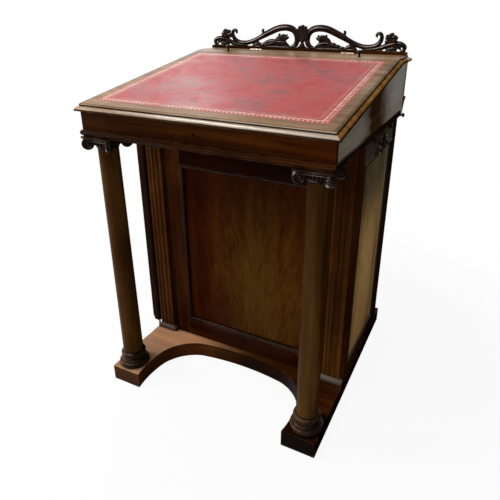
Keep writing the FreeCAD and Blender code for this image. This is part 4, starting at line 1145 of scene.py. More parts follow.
def carve(bm: bmesh.types.BMesh, scroll: Scroll, side: int) -> None:
    """Carve a scroll on one half of a board.

    Args:
        bm: The mesh to add to, in mm on the board's own plane.
        scroll: The scroll.
        side: 1 for the right half and -1 for the left.
    """
    line = smooth_line([(side * x, z, half) for x, z, half in scroll.points], 5)
    stations = []
    for index, (x, z, half) in enumerate(line):
        share = index / (len(line) - 1)
        taper = min(1.0, 0.35 + 6 * share, 0.3 + 7 * (1 - share))
        lobe = 1 + scroll.lobes * math.sin(math.tau * scroll.lobe_count * share)
        proud = scroll.proud * (0.82 + 0.18 * taper)
        stations.append(station(x, z, ahead_at(line, index), half * lobe * math.sqrt(taper),
                                proud * math.sqrt(taper)))
    sweep(bm, stations, 24, scroll.reeds, 0.3)
    LOG.debug("carved %s, side %d", scroll.name, side)


def petal(bm: bmesh.types.BMesh, points: list[tuple[float, float, float]], deep: float,
          rise: float = 0.0, segments: int = 14) -> None:
    """Carve a plain leaf or lobe.

    Args:
        bm: The mesh to add to, in mm on the board's own plane.
        points: Its middle line as (x, height, half width).
        deep: Half its depth at the root.
        rise: What it gains in half depth by its tip.
        segments: Points round its section.
    """
    line = smooth_line(points, 4)
    stations = [station(x, z, ahead_at(line, index), half, deep + rise * index / len(line))
                for index, (x, z, half) in enumerate(line)]
    sweep(bm, stations, segments)


def fuse(piece: bpy.types.Object, grain: float) -> None:
    """Fuse a carving's overlapping lumps into one skin and soften it a little.

    Args:
        piece: The carving.
        grain: Size of the skin's facets, in metres.
    """
    skin = piece.modifiers.new("Fuse", "REMESH")
    skin.mode = "VOXEL"
    skin.voxel_size = grain
    skin.use_smooth_shade = True
    soft = piece.modifiers.new("Rub", "SMOOTH")
    soft.factor = 0.5
    soft.iterations = 1


def cut_flat(bm: bmesh.types.BMesh, spot: Point, away: Point) -> None:
    """Saw a carving off along a plane and close the cut.

    Args:
        bm: The carving.
        spot: A point of the plane.
        away: The way to what falls off.
    """
    geom = bm.verts[:] + bm.edges[:] + bm.faces[:]
    cut = bmesh.ops.bisect_plane(bm, geom=geom, plane_co=spot, plane_no=away, clear_outer=True)
    rim = [item for item in cut["geom_cut"] if isinstance(item, bmesh.types.BMEdge)]
    bmesh.ops.holes_fill(bm, edges=rim, sides=0)


# ---------------------------------------------------------------- gallery


@dataclass(frozen=True)
class Tuft:
    """A tuft of curled leaves over an end scroll, in mm on the gallery's plane.

    Its lean is 1 when it opens to the right and -1 when it opens to the left.
    """

    x: float
    height: float
    lean: float
    leaves: int = 8
    first_leaf: float = 200.0
    leaf_step: float = 31.0
    reaches: tuple[float, float] = (16.5, 15.0)
    curls: tuple[float, float] = (-1.6, 1.6)
    depths: tuple[float, float] = (4.4, 5.6)
    heart: Point = (14.5, 4.6, 12.5)
    heart_drop: float = 5.0
    berry: Point = (2.8, 6.8, 3.4)
    berries: tuple[tuple[float, float], ...] = ((-7, -5), (-2.5, 1), (4, 0), (8, -6))

    def carve(self, bm: bmesh.types.BMesh) -> None:
        """Carve the heart, the leaves round it and the berries on it.

        Args:
            bm: The mesh to add to.
        """
        root = Vector((self.x, 0, self.height - self.heart_drop))
        pebble(bm, root, self.heart)
        for index in range(self.leaves):
            angle = math.radians(self.first_leaf - index * self.leaf_step)
            way = Vector((self.lean * math.cos(angle), 0, math.sin(angle)))
            kind = index % 2
            bend = Vector((way.z, 0, -way.x)) * self.curls[kind]
            reach = self.reaches[kind]
            points = [root + way * 4, root + way * (reach * 0.62) + bend, root + way * reach]
            petal(bm, [(p.x, p.z, half) for p, half in zip(points, (2.0, 4.4, 3.0))],
                  self.depths[kind], 1.2)
        for off, rise in self.berries:
            pebble(bm, Vector((self.x + self.lean * off, 0, self.height + rise)), self.berry,
                   0.4 * off)


@dataclass(frozen=True)
class Palmette:
    """The shell of lobes between the two main scrolls, in mm on the gallery's plane."""

    lobes: int = 7
    turn: float = 14.5
    root: float = 16.0
    reach: float = 50.0
    fall: float = 1.5
    outline: tuple[tuple[float, float], ...] = (
        (0.0, 1.3), (0.4, 2.2), (0.72, 3.7), (0.92, 4.6), (1.0, 3.4))

    def carve(self, bm: bmesh.types.BMesh) -> None:
        """Carve the lobes, the bead they spring from and the block under them.

        Args:
            bm: The mesh to add to.
        """
        for index in range(self.lobes):
            off = index - (self.lobes - 1) / 2
            angle = math.radians(off * self.turn)
            reach = self.reach - self.fall * abs(off) ** 1.8
            points = []
            for share, half in self.outline:
                spread = math.sin(angle) * (0.35 + 0.42 * share)
                points.append((spread * reach * share,
                               self.root + math.cos(angle) * reach * share, half))
            petal(bm, points, 3.6 if index % 2 else 2.6, 3.0)
        pebble(bm, Vector((0, 0, 13.5)), (8, 6, 8))
        pebble(bm, Vector((0, 0, 25)), (2.6, 6.8, 5))
        block(bm, (-12, -4.2, 6), (12, 4.2, 12), 1.5)


@dataclass
class Gallery:
    """The pierced back gallery: scrolls, buds, tufts of leaves and a shell in the middle."""

    plane: float = 0.265
    foot: float = 0.7993
    rail_height: float = 7.0
    strip: tuple[Point, Point] = ((-276, -4.4, 6), (276, 4.4, 8.6))
    boss: tuple[float, float] = (58, 34)
    boss_radii: Point = (11.5, 6.4, 8.2)
    grain_size: float = 0.001
    scrolls: list[Scroll] = field(default_factory=lambda: [
        Scroll("main", [
            (45, 12.5, 2.6), (36, 9.5, 4.4), (26, 10.5, 6), (18, 17, 7), (14.5, 28, 7.6),
            (17.5, 43, 8.2), (28, 54, 8.6), (47, 58.6, 8.8), (69, 56.4, 8.8), (89, 49, 8.6),
            (108, 40.6, 8.2), (118, 35.5, 7.4), (127, 31, 6.6), (146, 22.4, 6.4), (166, 16.6, 6.4),
            (187, 16.4, 6.4), (202, 21, 6.2), (211.5, 30.5, 5.8), (214, 41, 5), (210, 48.5, 4.6),
            (203, 48.5, 4.2), (200.5, 43, 3.6), (204, 40, 2.8)], 6.4, 2),
        Scroll("end", [
            (168, 10, 3.6), (192, 11, 5), (211, 14.5, 6), (228, 20.5, 6.5), (245, 25.5, 6.5),
            (261, 26, 6.2), (272, 19.5, 5.6), (270.5, 11.5, 4.6), (262.5, 10, 3.8)], 6.2, 2),
        Scroll("end_curl", [(232, 9.5, 3), (242, 13, 4.2), (251, 17.5, 4.4), (259, 17.5, 3.8),
                            (262, 12.5, 3.2)], 5.2, 1),
        Scroll("inner_leaf", [
            (38, 11, 3.5), (51, 18.5, 6), (64, 21, 6.8), (80, 20, 6.2), (95, 16, 5.2),
            (109, 12, 4.2), (124, 10, 3.0)], 5.6, 2, 0.2, 7),
        Scroll("foot", [(17, 9, 3.6), (32, 8.5, 3.6), (53, 10, 4.4), (75, 11, 4.6), (98, 10, 3.4)],
               4.6, 1),
        Scroll("bud", [(80, 20, 3.5), (74, 27, 6.5), (64, 31, 8.5), (53, 31.5, 8.2), (45, 32.5, 5),
                       (39, 35, 2.4)], 6.2, 3),
        Scroll("bud_ear", [(64, 35, 4), (67.5, 40, 3.4), (68, 43.5, 1.6)], 4.8, 1),
        Scroll("bud_tip", [(50, 36, 3.6), (46, 39, 2.6), (44.5, 42, 1.4)], 4.8, 1),
        Scroll("spur", [(112, 41, 3.5), (117, 46, 4), (118, 51, 3.2), (114, 53, 2)], 4.6, 1),
        Scroll("corner_leaf", [(118, 10, 3), (127, 13, 5.4), (135, 15, 5.6), (143, 11, 4.5),
                               (152, 9.5, 3)], 5.0, 2, 0.25, 5),
        Scroll("heel_leaf", [(226, 10, 3), (236, 13.5, 5), (246, 14, 5.4), (254, 11, 4.4)],
               5.2, 2, 0.22, 4),
    ])
    left_leaf: Scroll = Scroll("left_leaf", [
        (128, 9, 3), (116, 14, 4.6), (102, 20.5, 5.6), (88, 23, 6), (74, 20, 6), (62, 14, 5)],
        5.4, 2)
    tufts: tuple[Tuft, ...] = (Tuft(238, 40.5, 1.0), Tuft(-234, 41, -1.0))
    palmette: Palmette = Palmette()

    def build(self, bench: Bench, finish: CarvedWood) -> None:
        """Carve both halves and the shell, and fuse them into one board.

        Args:
            bench: Where the piece is set down.
            finish: Its finish.
        """
        bm = bmesh.new()
        for scroll in self.scrolls:
            for side in (-1, 1):
                carve(bm, scroll, side)
        carve(bm, self.left_leaf, -1)
        for tuft in self.tufts:
            tuft.carve(bm)
        across, height = self.boss
        for side in (-1, 1):
            pebble(bm, Vector((side * across, 0, height)), self.boss_radii, side * 0.3)
        self.palmette.carve(bm)
        block(bm, *self.strip, 1.0)
        place = Matrix.Translation((0, self.plane, self.foot)) @ IN_MM
        bmesh.ops.transform(bm, matrix=place, verts=bm.verts)
        cut_flat(bm, (0, 0, self.foot + self.rail_height * MM), (0, 0, -1))
        fuse(bench.set_down("gallery_carving", bm, "desk", finish, "gallery",
                            ALL_SMOOTH), self.grain_size)


@dataclass
class Cartouche:
    """The carved shell between leaves, at the top of the right side."""

    middle: Point = (0.2755, 0.0975, 0.615)
    let_in: float = 0.0004
    fan_turn: float = 0.33
    fan_reach: float = 24.5
    grain_size: float = 0.0008
    scrolls: list[Scroll] = field(default_factory=lambda: [
        Scroll("frame", [(2, -21, 2.2), (11, -17, 2.8), (16.5, -7, 3.2), (17, 4, 3.2),
                         (12, 13, 3), (5, 16, 2.4)], 6.4, 1),
        Scroll("arm", [(15, -10, 3), (25, -3, 4.6), (36, 2, 5.2), (47, 0, 4.6), (55, -6, 3.4),
                       (57, -12, 2.6), (52, -14, 2.2)], 5.4, 2, 0.22, 6),
        Scroll("upper_leaf", [(12, 10, 2.4), (21, 13, 4.4), (31, 13, 4.4), (40, 9, 3)], 4.8, 2,
               0.22, 4),
        Scroll("lower_leaf", [(8, -17, 2.4), (17, -19, 4.2), (27, -16, 4.4), (35, -10, 3)], 5.0, 2,
               0.22, 4),
    ])

    def build(self, bench: Bench, finish: CarvedWood) -> None:
        """Carve the shell, its frame and its leaves.

        Args:
            bench: Where the piece is set down.
            finish: Its finish.
        """
        bm = bmesh.new()
        for scroll in self.scrolls:
            for side in (-1, 1):
                carve(bm, scroll, side)
        pebble(bm, Vector((0, 0, -3)), (10.5, 6.2, 12.5))
        for index in range(-3, 4):
            way = Vector((math.sin(index * self.fan_turn), 0, math.cos(index * self.fan_turn)))
            reach = self.fan_reach - 0.5 * index * index
            petal(bm, [(way.x * at, way.z * at + 1, half) for at, half in
                       ((6, 1.6), (reach * 0.6, 3.2), (reach * 0.9, 4.0), (reach, 2.6))], 4.6, 1.2)
        petal(bm, [(0, -14, 3), (0, -20, 4.4), (0, -26, 2)], 4.6)
        turn = Matrix.Rotation(math.radians(90), 4, "Z")
        bmesh.ops.transform(bm, matrix=Matrix.Translation(self.middle) @ turn @ IN_MM,
                            verts=bm.verts)
        cut_flat(bm, (self.middle[0] - self.let_in, 0, 0), (-1, 0, 0))
        fuse(bench.set_down("cartouche_carving", bm, "desk", finish,
                            "side_cartouche", ALL_SMOOTH), self.grain_size)


# ---------------------------------------------------------------- capitals


@dataclass
class Capital:
    """An angular Ionic capital: hollow-sided abacus, egg row and a pair of scrolls at each corner.

    Its place is in metres; the rest is in mm on the column's axis, from the shaft's top.
    """

    side: str
    x: float
    y: float = -0.2435
    foot: float = 0.624
    height: float = 26.0
    corner: float = 55.4
    splay: float = 38.0
    scroll_level: float = 9.8
    scroll_radius: float = 13.8
    scroll_half: float = 3.5
    draw_in: float = 1.6
    turns: float = 1.9
    eggs: int = 22
    egg: Point = (2.5, 2.9, 4.9)
    egg_reach: float = 25.2
    egg_level: float = 9.4
    rail_half: float = 29.5
    rails: tuple[tuple[float, float, float], ...] = ((21.6, 1.4, 1.5), (17.0, 1.2, 1.2))
    slabs: tuple[tuple[float, float, float], ...] = (
        (24.0, 26.0, 1.0), (22.4, 24.2, 0.965), (21.0, 22.6, 0.93))
    slab_waist: float = 33.0
    slab_flare: float = 26.0
    horn: float = 53.4
    grain_size: float = 0.0008

    def scroll_place(self, side: int, quarter: int) -> Matrix:
        """Where a scroll's own flat frame stands.

        Args:
            side: 1 for the right scroll of a face and -1 for the left.
            quarter: The face, in quarter turns from the front.

        Returns:
            The frame: X towards the corner, Y into the scroll, Z up, its centre at zero.
        """
        angle = math.radians(self.splay)
        out = Vector((side * math.cos(angle), -math.sin(angle), 0))
        inwards = Vector((side * math.sin(angle), math.cos(angle), 0)) * self.scroll_half
        reach = self.corner / math.sqrt(2)
        middle = Vector((side * reach, -reach, self.scroll_level)) - out * self.scroll_radius
        middle += Vector((-side, 0, 0)) * self.draw_in + inwards * 0.5
        axes = Matrix((out, inwards.normalized(), Vector((0, 0, 1)))).transposed().to_4x4()
        return Matrix.Rotation(quarter * math.pi / 2, 4, "Z") @ Matrix.Translation(middle) @ axes

    def scroll(self, bm: bmesh.types.BMesh, side: int, quarter: int) -> None:
        """Turn a corner scroll with a reeded rim, and carve the spiral on its face.

        Args:
            bm: The mesh to add to.
            side: 1 for the right scroll of a face and -1 for the left.
            quarter: The face, in quarter turns from the front.
        """
        place = self.scroll_place(side, quarter)
        radius, half = self.scroll_radius, self.scroll_half
        rim = [(0.0, -half), (radius - 1.4, -half), (radius - 0.2, -half + 0.9),
               (radius - 1.5, -0.6), (radius - 1.5, 0.6), (radius - 0.2, half - 0.9),
               (radius - 1.4, half), (0.0, half)]
        turned(bm, rim, place @ Matrix.Rotation(math.radians(-90), 4, "X"))
        line = []
        steps = int(self.turns * 18)
        for step in range(steps + 1):
            share = step / steps
            angle = math.radians(100) - share * self.turns * math.tau
            reach = (radius - 1.2) * (1 - share) ** 0.9 + 2.0 * share
            line.append((reach * math.cos(angle), reach * math.sin(angle), 1.35 - 0.35 * share))
        lift = place @ Matrix.Translation((0, -half, 0))
        sweep(bm, [lift @ station(x, z, ahead_at(line, index), width, 2.3)
                   for index, (x, z, width) in enumerate(line)], 10)
        pebble(bm, Vector((0, 0, 0)), (2.8, 2.9, 2.8), place=lift)

    def rail(self, bm: bmesh.types.BMesh, quarter: int, level: float, bow: float,
             half: float) -> None:
        """Carve a rail that hangs between a face's two scrolls.

        Args:
            bm: The mesh to add to.
            quarter: The face, in quarter turns from the front.
            level: Its height at the scrolls.
            bow: How far its middle hangs.
            half: Half its thickness.
        """
        turn = Matrix.Rotation(quarter * math.pi / 2, 4, "Z")
        stations = []
        for step in range(17):
            share = step / 8 - 1
            hollow = 31.2 + 2.6 * share * share
            spot = Vector((self.rail_half * share, -hollow, level - bow * (1 - share * share)))
            ahead = Vector((1, -0.18 * share, 0.07 * bow * share)).normalized()
            up = Vector((0, 0, 1))
            across = up.cross(ahead).normalized()
            axes = Matrix((up * half, across * half * 1.2, ahead)).transposed().to_4x4()
            stations.append(turn @ Matrix.Translation(spot) @ axes)
        sweep(bm, stations, 10)

    def bell(self, bm: bmesh.types.BMesh) -> None:
        """Turn the bead and the bell, and set the eggs round it.

        Args:
            bm: The mesh to add to.
        """
        turned(bm, [(0, -0.3), (23.0, -0.3), (24.4, 0.6), (24.6, 1.8), (23.4, 2.8), (22.8, 3.6),
                    (23.0, 6), (24.0, 11), (26.0, 16), (29.5, 20), (31, 22), (0, 22)],
               Matrix.Identity(4), 64)
        for index in range(self.eggs):
            turn = Matrix.Rotation(math.tau * (index + 0.5) / self.eggs, 4, "Z")
            pebble(bm, Vector((0, -self.egg_reach, self.egg_level)), self.egg, place=turn)

    def slab(self, bm: bmesh.types.BMesh, low: float, high: float, share: float) -> None:
        """One layer of the abacus, with hollow sides and blunt horns.

        Args:
            bm: The mesh to add to.
            low: Its lower face.
            high: Its upper face.
            share: Its size, as a share of the whole abacus.
        """
        ring = bmesh.ops.create_circle(bm, cap_ends=False, segments=96, radius=1)["verts"]
        for vert in ring:
            angle = math.atan2(vert.co.y, vert.co.x)
            off = abs((angle + math.pi / 4) % (math.pi / 2) - math.pi / 4)
            side = self.slab_waist + self.slab_flare * (off / (math.pi / 4)) ** 2.1
            reach = share * min(side, self.horn / math.cos(math.pi / 4 - off))
            vert.co = (reach * math.cos(angle), reach * math.sin(angle), low)
        edges = edges_of(ring)
        bmesh.ops.edgeloop_fill(bm, edges=edges)
        top, edges = extrude_rim(bm, edges)
        bmesh.ops.translate(bm, vec=(0, 0, high - low), verts=top)
        bmesh.ops.edgeloop_fill(bm, edges=edges)

    def build(self, bench: Bench, carving: Finish, joinery: Finish) -> None:
        """Carve the capital and stack its abacus.

        Args:
            bench: Where the pieces are set down.
            carving: The carving's finish.
            joinery: The abacus's finish.
        """
        bm = bmesh.new()
        self.bell(bm)
        for quarter in range(4):
            for side in (-1, 1):
                self.scroll(bm, side, quarter)
            for level, bow, half in self.rails:
                self.rail(bm, quarter, level, bow, half)
        self.fit(bm)
        fuse(bench.set_down(f"capital_carving_{self.side}", bm, "desk", carving,
                            f"capital_{self.side}", ALL_SMOOTH), self.grain_size)
        bm = bmesh.new()
        for low, high, share in self.slabs:
            self.slab(bm, low, high, share)
        self.fit(bm)
        bench.set_down(f"capital_abacus_{self.side}", bm, "desk", joinery,
                       f"capital_{self.side}")

    def fit(self, bm: bmesh.types.BMesh) -> None:
        """Stand a part of the capital on its shaft, sawn off level with the capital's top.

        Args:
            bm: The part, in mm on the column's axis.
        """
        place = Matrix.Translation((self.x, self.y, self.foot)) @ IN_MM
        bmesh.ops.transform(bm, matrix=place, verts=bm.verts)
        cut_flat(bm, (0, 0, self.foot + self.height * MM), (0, 0, 1))


# ---------------------------------------------------------------- lid


@dataclass
class WritingSlope:
    """The leather of the lid, laid on the slope in front of the hinges."""

    shape: LidShape = LidShape()
    half_across: float = 0.255
    front: float = -0.44521
    rear: float = -0.041
    thickness: float = 0.0008
    proud: float = 0.0001
    rubbed: float = 0.0002

    def place(self) -> Matrix:
        """The slope's own frame: X across, Y up the slope, Z away from it."""
        return (Matrix.Translation((0, self.shape.break_line, self.shape.top))
                @ Matrix.Rotation(self.shape.slope, 4, "X"))

    def build(self, bench: Bench) -> None:
        """Lay the leather, with its coordinates in metres from its middle.

        Args:
            bench: Where the piece is set down.
        """
        half_along = (self.rear - self.front) / 2
        middle = (self.rear + self.front) / 2
        bm = bmesh.new()
        low = (-self.half_across, self.front, -self.thickness)
        high = (self.half_across, self.rear, self.proud)
        block(bm, low, high, self.rubbed, 1)
        layer = bm.loops.layers.uv.new("Hide")
        for face in bm.faces:
            for loop in face.loops:
                loop[layer].uv = (loop.vert.co.x, loop.vert.co.y - middle)
        bmesh.ops.transform(bm, matrix=self.place(), verts=bm.verts)
        finish = RedLeather("Red_hide", self.half_across, half_along)
        bench.set_down("writing_leather", bm, "lid", finish, "lid_leather")


# ---------------------------------------------------------------- studio


@dataclass(frozen=True)
class Lamp:
    """A soft lamp: where it hangs, what it faces, its width and height, and its watts."""

    name: str
    place: Point
    aim: Point
    size: tuple[float, float]
    power: float

    def hang(self) -> None:
        """Hang the lamp."""
        data = bpy.data.lights.new(self.name, "AREA")
        data.shape = "RECTANGLE"
        data.size, data.size_y = self.size
        data.energy = self.power
        lamp = bpy.data.objects.new(self.name, data)
        bpy.context.scene.collection.objects.link(lamp)
        way = (Vector(self.aim) - Vector(self.place)).to_track_quat("-Z", "Y")
        lamp.matrix_world = Matrix.Translation(self.place) @ way.to_matrix().to_4x4()


@dataclass
class Studio:
    """Floor, world, lamps and camera."""

    eye: Point = (0.50212, -1.00350, 0.89651)
    heading: float = 0.4499
    dip: float = 0.4037
    roll: float = 0.0068
    lens: float = 34.131
    shift_x: float = -0.02834
    shift_y: float = -0.0713
    sensor: float = 36.0
    white: float = 1.0
    surround: float = 0.27
    floor_reach: float = 14.0
    floor_drop: float = 0.0002
    floor_colour: Colour = (0.9, 0.9, 0.89)
    lamps: tuple[Lamp, ...] = (
        Lamp("Ceiling", (-1.2, -0.75, 2.7), (0, 0, 0.7), (1.8, 0.3), 27),
        Lamp("Glint", (-0.8, -0.6, 2.3), (0, 0, 0.7), (0.2, 0.2), 4),
        Lamp("Far_glint", (-1.4, 1.5, 2.2), (0, 0, 0.8), (0.12, 0.12), 3),
        Lamp("Window", (-2.1, 2.0, 1.9), (0, 0, 0.75), (1.3, 1.2), 4.5),
        Lamp("Doorway", (-2.3, -1.1, 1.3), (-0.1, -0.1, 0.1), (0.9, 1.4), 34),
        Lamp("Fill", (0.0, -2.85, 1.5), (0, 0, 0.4), (1.6, 1.6), 17))

    def camera(self) -> None:
        """Stand the camera where the desk is seen from its front right."""
        data = bpy.data.cameras.new("Camera")
        data.sensor_width = self.sensor
        data.lens = self.lens
        data.shift_x = self.shift_x
        data.shift_y = self.shift_y
        data.clip_start = 0.01
        camera = bpy.data.objects.new("Camera", data)
        bpy.context.scene.collection.objects.link(camera)
        ahead = Vector((-math.sin(self.heading) * math.cos(self.dip),
                        math.cos(self.heading) * math.cos(self.dip), -math.sin(self.dip)))
        right = Vector((math.cos(self.heading), math.sin(self.heading), 0))
        up = right.cross(ahead)
        turned_right = right * math.cos(self.roll) + up * math.sin(self.roll)
        turned_up = up * math.cos(self.roll) - right * math.sin(self.roll)
        axes = Matrix((turned_right, turned_up, -ahead)).transposed().to_4x4()
        camera.matrix_world = Matrix.Translation(self.eye) @ axes
        bpy.context.scene.camera = camera

    def world(self) -> None:
        """A white surround that gives a low, even light."""
        world = bpy.data.worlds.new("Surround")
        bpy.context.scene.world = world
        tree = Tree(world)
        even = tree.add("Background", {"Color": WHITE, "Strength": self.surround})
        white = tree.add("Background", {"Color": WHITE, "Strength": self.white})
        mix = tree.add("MixShader", {0: tree.seen(), 1: even.outputs[0], 2: white.outputs[0]})
        tree.add("OutputWorld", {"Surface": mix.outputs[0]})

    def floor(self) -> None:
        """A wide white floor that keeps the desk's shadow near its feet."""
        bm = bmesh.new()
        bmesh.ops.create_circle(bm, cap_ends=True, segments=64, radius=self.floor_reach,
                                matrix=Matrix.Translation((0, 0, -self.floor_drop)))
        mesh = bpy.data.meshes.new("Floor")
        bm.to_mesh(mesh)
        bm.free()
        floor = bpy.data.objects.new("Floor", mesh)
        bpy.context.scene.collection.objects.link(floor)
        tree = Tree.of_material("White_floor")
        place = tree.add("TexCoord").outputs["Object"]
        away = tree.add("VectorMath", {0: place}, operation="LENGTH").outputs["Value"]
        share = tree.times(tree.seen(), tree.level(away, 0.5, 1.3, 0.92, 1.0))
        matt = tree.add("BsdfDiffuse", {"Color": self.floor_colour})
        glow = tree.add("Emission", {"Color": WHITE, "Strength": self.white})
        mix = tree.add("MixShader", {0: share, 1: matt.outputs[0], 2: glow.outputs[0]})
        tree.add("OutputMaterial", {"Surface": mix.outputs[0]})
        mesh.materials.append(tree.owner)

    def build(self) -> None:
        """Set up everything round the desk."""
        self.camera()
        self.world()
        self.floor()
        for lamp in self.lamps:
            lamp.hang()
        bpy.context.scene.view_settings.view_transform = "Standard"


# ---------------------------------------------------------------- the desk


COLUMN_ACROSS = 0.244
MAHOGANY: tuple[Colour, Colour, Colour] = (
    (0.012, 0.0022, 0.0004), (0.030, 0.0062, 0.0007), (0.062, 0.018, 0.0022))

UPRIGHT_WOOD = PolishedWood("Mahogany_upright", *MAHOGANY, Grain.UPRIGHT)
# Painted shade: darker towards the top, under the writing box.
PILASTER_WOOD = PolishedWood("Mahogany_pilaster", (0.026, 0.007, 0.001), (0.065, 0.020, 0.003),
                             (0.12, 0.045, 0.008), Grain.UPRIGHT, wear=0.3, worn=(0.2, 0.1, 0.04),
                             fades=(PaintedLight(2, 0.3, 0.6, (0.62, 0.58, 0.8)),))
STILE_WOOD = PolishedWood("Mahogany_locking_stile", (0.004, 0.0014, 0.0008),
                          (0.010, 0.003, 0.0014), (0.022, 0.008, 0.003), Grain.UPRIGHT)
# Painted shade: much darker towards the top, under the writing box.
RAIL_WOOD = PolishedWood("Mahogany_rail", *MAHOGANY, Grain.ACROSS, shift=(0.3, 0.1, 0.2),
                         fades=(PaintedLight(2, 0.40, 0.60, (0.22, 0.10, 0.15)),))
# Painted light: brighter towards the right.
BOX_WOOD = PolishedWood("Mahogany_box", (0.008, 0.0014, 0.0003), (0.020, 0.0045, 0.0005),
                        (0.042, 0.012, 0.0014), Grain.ACROSS, shift=(0.1, 0.5, 0.2),
                        fades=(PaintedLight(0, -0.02, 0.27, (2.3, 2.2, 1.8)),))
# Darker than the box as painted shade under the writing box, with painted light towards the right and
# painted shade, greyer, at the right end.
UNDER_WOOD = PolishedWood("Mahogany_under_box", (0.005, 0.0010, 0.0003), (0.013, 0.003, 0.0005),
                          (0.028, 0.008, 0.0012), Grain.ACROSS, shift=(0.2, 0.3, 0.1),
                          fades=(PaintedLight(0, 0.05, 0.24, (1.7, 1.6, 1.3)),
                                 PaintedLight(0, 0.272, 0.2815, (0.4, 0.5, 0.9))))
MOULDING_WOOD = PolishedWood("Mahogany_panel_moulding", (0.006, 0.0014, 0.0004),
                             (0.014, 0.004, 0.001), (0.030, 0.010, 0.002), Grain.UPRIGHT,
                             gloss=0.1, rough=0.22, sheen=(1.0, 0.85, 0.7), wear=0.2)
SIDE_STILE_WOOD = PolishedWood("Mahogany_side_stile", (0.008, 0.003, 0.0012), (0.017, 0.0075, 0.0035),
                               (0.034, 0.016, 0.008), Grain.UPRIGHT, shift=(0.2, 0.1, 0.0))
ABACUS_WOOD = PolishedWood("Mahogany_abacus", (0.007, 0.0028, 0.0012), (0.018, 0.0075, 0.003),
                           (0.04, 0.019, 0.009), Grain.ACROSS, worn=(0.10, 0.06, 0.035),
                           wear=0.3)
SLIDE_WOOD = PolishedWood("Mahogany_slide", (0.006, 0.003, 0.0015), (0.014, 0.0075, 0.004),
                          (0.03, 0.017, 0.009), Grain.DEEP, shift=(0.3, 0.2, 0.2), gloss=0.0)
# Grey-brown and unpolished: the grey is a painted reflection on the desk's side.
SIDE_RAIL_WOOD = PolishedWood("Mahogany_side_rail", (0.03, 0.022, 0.013), (0.062, 0.050, 0.032),
                              (0.11, 0.092, 0.062), Grain.DEEP, gloss=0.0, shift=(0.2, 0.2, 0.2))
# Pale grey-brown, partly the wood and partly a painted highlight on the feet's mouldings.
FOOT_WOOD = PolishedWood("Mahogany_pilaster_foot", (0.045, 0.03, 0.022), (0.11, 0.083, 0.066),
                         (0.22, 0.175, 0.14), Grain.ACROSS, gloss=0.2, rough=0.22,
                         sheen=(1.0, 0.9, 0.8))
# Pale grey-pink, partly the ledge's wood and partly a painted sheen.
LEDGE_WOOD = PolishedWood("Mahogany_ledge", (0.16, 0.086, 0.062), (0.28, 0.175, 0.14),
                          (0.42, 0.28, 0.22), Grain.ACROSS, gloss=0.2, rough=0.24,
                          shift=(0.4, 0.2, 0.1))
# Paler and greyer than the box's mahogany: a painted reflection on the box's right side.
SIDE_BOX_WOOD = PatchyWood("Mahogany_box_side", (0.055, 0.034, 0.014), (0.105, 0.070, 0.032),
                           (0.17, 0.12, 0.06), Grain.DEEP, shift=(0.1, 0.4, 0.2), rough=0.4,
                           wear=0.0)
DEEP_WOOD = PolishedWood("Mahogany_deep", *MAHOGANY, Grain.DEEP, shift=(0.1, 0.4, 0.2))
COLUMN_WOOD = PolishedWood("Mahogany_column", (0.017, 0.0058, 0.0013), (0.044, 0.0168, 0.0034),
                           (0.088, 0.040, 0.010), Grain.UPRIGHT, wear=0.0, grime_and_shade=0.5)
LID_WOOD = LidWood("Mahogany_lid", (0.13, 0.062, 0.026), (0.26, 0.145, 0.070),
                   (0.40, 0.25, 0.14), Grain.ACROSS, rough=0.3, gloss=0.04, wear=0.5,
                   worn=(0.3, 0.16, 0.08), sheen=(1.0, 0.9, 0.8))
# Painted light and shade on the base: much lighter to the left, where light falls on its top; darker
# at the front; a pale sheen to the left; darker on the faces below the top; darker to the right.
BASE_WOOD = PolishedWood("Mahogany_base", (0.018, 0.005, 0.0010), (0.046, 0.014, 0.0024),
                         (0.10, 0.036, 0.008), Grain.ACROSS, rough=0.34, wear=0.6, fades=(
                             PaintedLight(0, 0.05, -0.20, (10.5, 13.0, 16.0), wander=0.16),
                             PaintedLight(1, -0.165, -0.215, (0.42, 0.45, 0.42), wander=0.06),
                             PaintedLight(0, 0.03, -0.2, (0.74, 0.48, 0.33), 0.3, "MIX", 0.08),
                             PaintedLight(2, 0.0413, 0.0405, (0.12, 0.075, 0.035)),
                             PaintedLight(0, 0.02, 0.12, (0.9, 0.7, 0.6))))
# Painted light and shade on the front panel: darker to the left and towards the top under the box,
# brighter to the right and at the far left edge.
FRONT_VENEER = FlameVeneer("Flame_veneer_front", (0.014, 0.0022, 0.0003), (0.036, 0.0100, 0.0007),
                           (0.080, 0.034, 0.0040), Grain.UPRIGHT, wear=0.0, grime_and_shade=0.5,
                           centre=(0.03, 0.0, 0.24), spread=0.17, gloss=0.03,
                           fades=(PaintedLight(0, 0.0, -0.15, (0.95, 0.62, 0.5)),
                                  PaintedLight(0, 0.06, 0.12, (1.35, 1.35, 1.0), wander=0.05),
                                  PaintedLight(0, -0.13, -0.165, (1.5, 1.2, 1.0)),
                                  PaintedLight(2, 0.36, 0.56, (0.7, 0.5, 0.4))))
# Paler and more golden than the front veneer, with no gloss: the colour holds a painted reflection;
# painted shade towards the top and painted grey reflection towards the rear.
SIDE_VENEER = FlameVeneer("Flame_veneer_side", (0.20, 0.10, 0.032), (0.38, 0.22, 0.075),
                          (0.56, 0.36, 0.14), Grain.UPRIGHT, wear=0.0, grime_and_shade=0.4, gloss=0.0,
                          rough=0.5, centre=(0.0, 0.0825, 0.3), across_axis=1,
                          fades=(PaintedLight(2, 0.36, 0.55, (0.32, 0.42, 0.62), wander=0.1),
                                 PaintedLight(1, 0.175, 0.205, (0.30, 0.28, 0.21), 0.6, "MIX")))
CARVING = CarvedWood("Carved_mahogany")
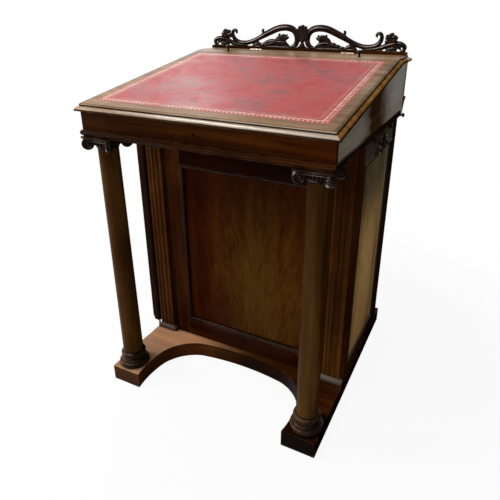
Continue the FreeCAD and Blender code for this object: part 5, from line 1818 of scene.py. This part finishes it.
# Black, brown and the colour of the painted highlight, for the turned pieces.
TURNING = CarvedWood("Turned_mahogany", (0.007, 0.003, 0.0013), (0.034, 0.0135, 0.005),
                     (0.085, 0.045, 0.022))
LINING = PlainWood("Lining_wood")
BRASS = Brass("Old_brass")


DRESSING: tuple[tuple[Finish, tuple[str, ...]], ...] = (
    (UPRIGHT_WOOD, ("front_stile_left", "front_stile_right", "left_post_front", "left_post_rear",
                    "pedestal_back")),
    (MOULDING_WOOD, ("front_panel_moulding", "side_panel_moulding")),
    (SIDE_STILE_WOOD, ("side_stile_front", "side_stile_rear")),
    (FOOT_WOOD, ("pilaster_base_left", "pilaster_base_right")),
    (PILASTER_WOOD, ("pilaster_left", "pilaster_right")),
    (STILE_WOOD, ("locking_stile",)),
    (RAIL_WOOD, ("front_rail_top", "front_rail_bottom")),
    (BOX_WOOD, ("box_front", "box_back", "rear_cornice", "gallery_rail")),
    (UNDER_WOOD, ("box_moulding",)),
    (LEDGE_WOOD, ("box_ledge",)),
    (SIDE_BOX_WOOD, ("box_side_right",)),
    (SLIDE_WOOD, ("slide_left", "slide_right")),
    (SIDE_RAIL_WOOD, ("side_rail_top",)),
    (DEEP_WOOD, ("box_side_left", "side_rail_bottom",
                 *(f"drawer_{number}" for number in range(1, 5)))),
    (COLUMN_WOOD, ("column_shaft_left", "column_shaft_right")),
    (LID_WOOD, ("lid",)),
    (BASE_WOOD, ("base_platform",)),
    (FRONT_VENEER, ("front_panel",)),
    (SIDE_VENEER, ("side_panel",)),
    (CARVING, ("lid_knobs",)),
    (TURNING, (*(f"drawer_knobs_{number}" for number in range(1, 5)),
               "column_base_left", "column_base_right")),
    (LINING, ("pedestal_bottom", "pedestal_top", "drawer_framing", "slide_bearers",
              "box_bottom", "pigeonholes")),
    (BRASS, ("stile_pivots", "lid_lock", "hinge_leaves_box", "hinge_leaves_lid")),
)


@dataclass
class Carcase:
    """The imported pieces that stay, each with its finish."""

    dressing: tuple[tuple[Finish, tuple[str, ...]], ...] = DRESSING

    def build(self, bench: Bench) -> None:
        """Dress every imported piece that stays."""
        for finish, names in self.dressing:
            bench.dress(finish, *names)


def main() -> None:
    """Build the desk's looks in order."""
    logging.basicConfig(level=logging.INFO, format="%(name)s: %(message)s")
    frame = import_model()
    bench = Bench(frame["nodes"])
    Studio().build()
    Carcase().build(bench)
    WritingSlope().build(bench)
    Gallery().build(bench, CARVING)
    Cartouche().build(bench, CARVING)
    for side, across in (("left", -COLUMN_ACROSS), ("right", COLUMN_ACROSS)):
        Capital(side, across).build(bench, CARVING, ABACUS_WOOD)


if __name__ == "__main__":
    main()
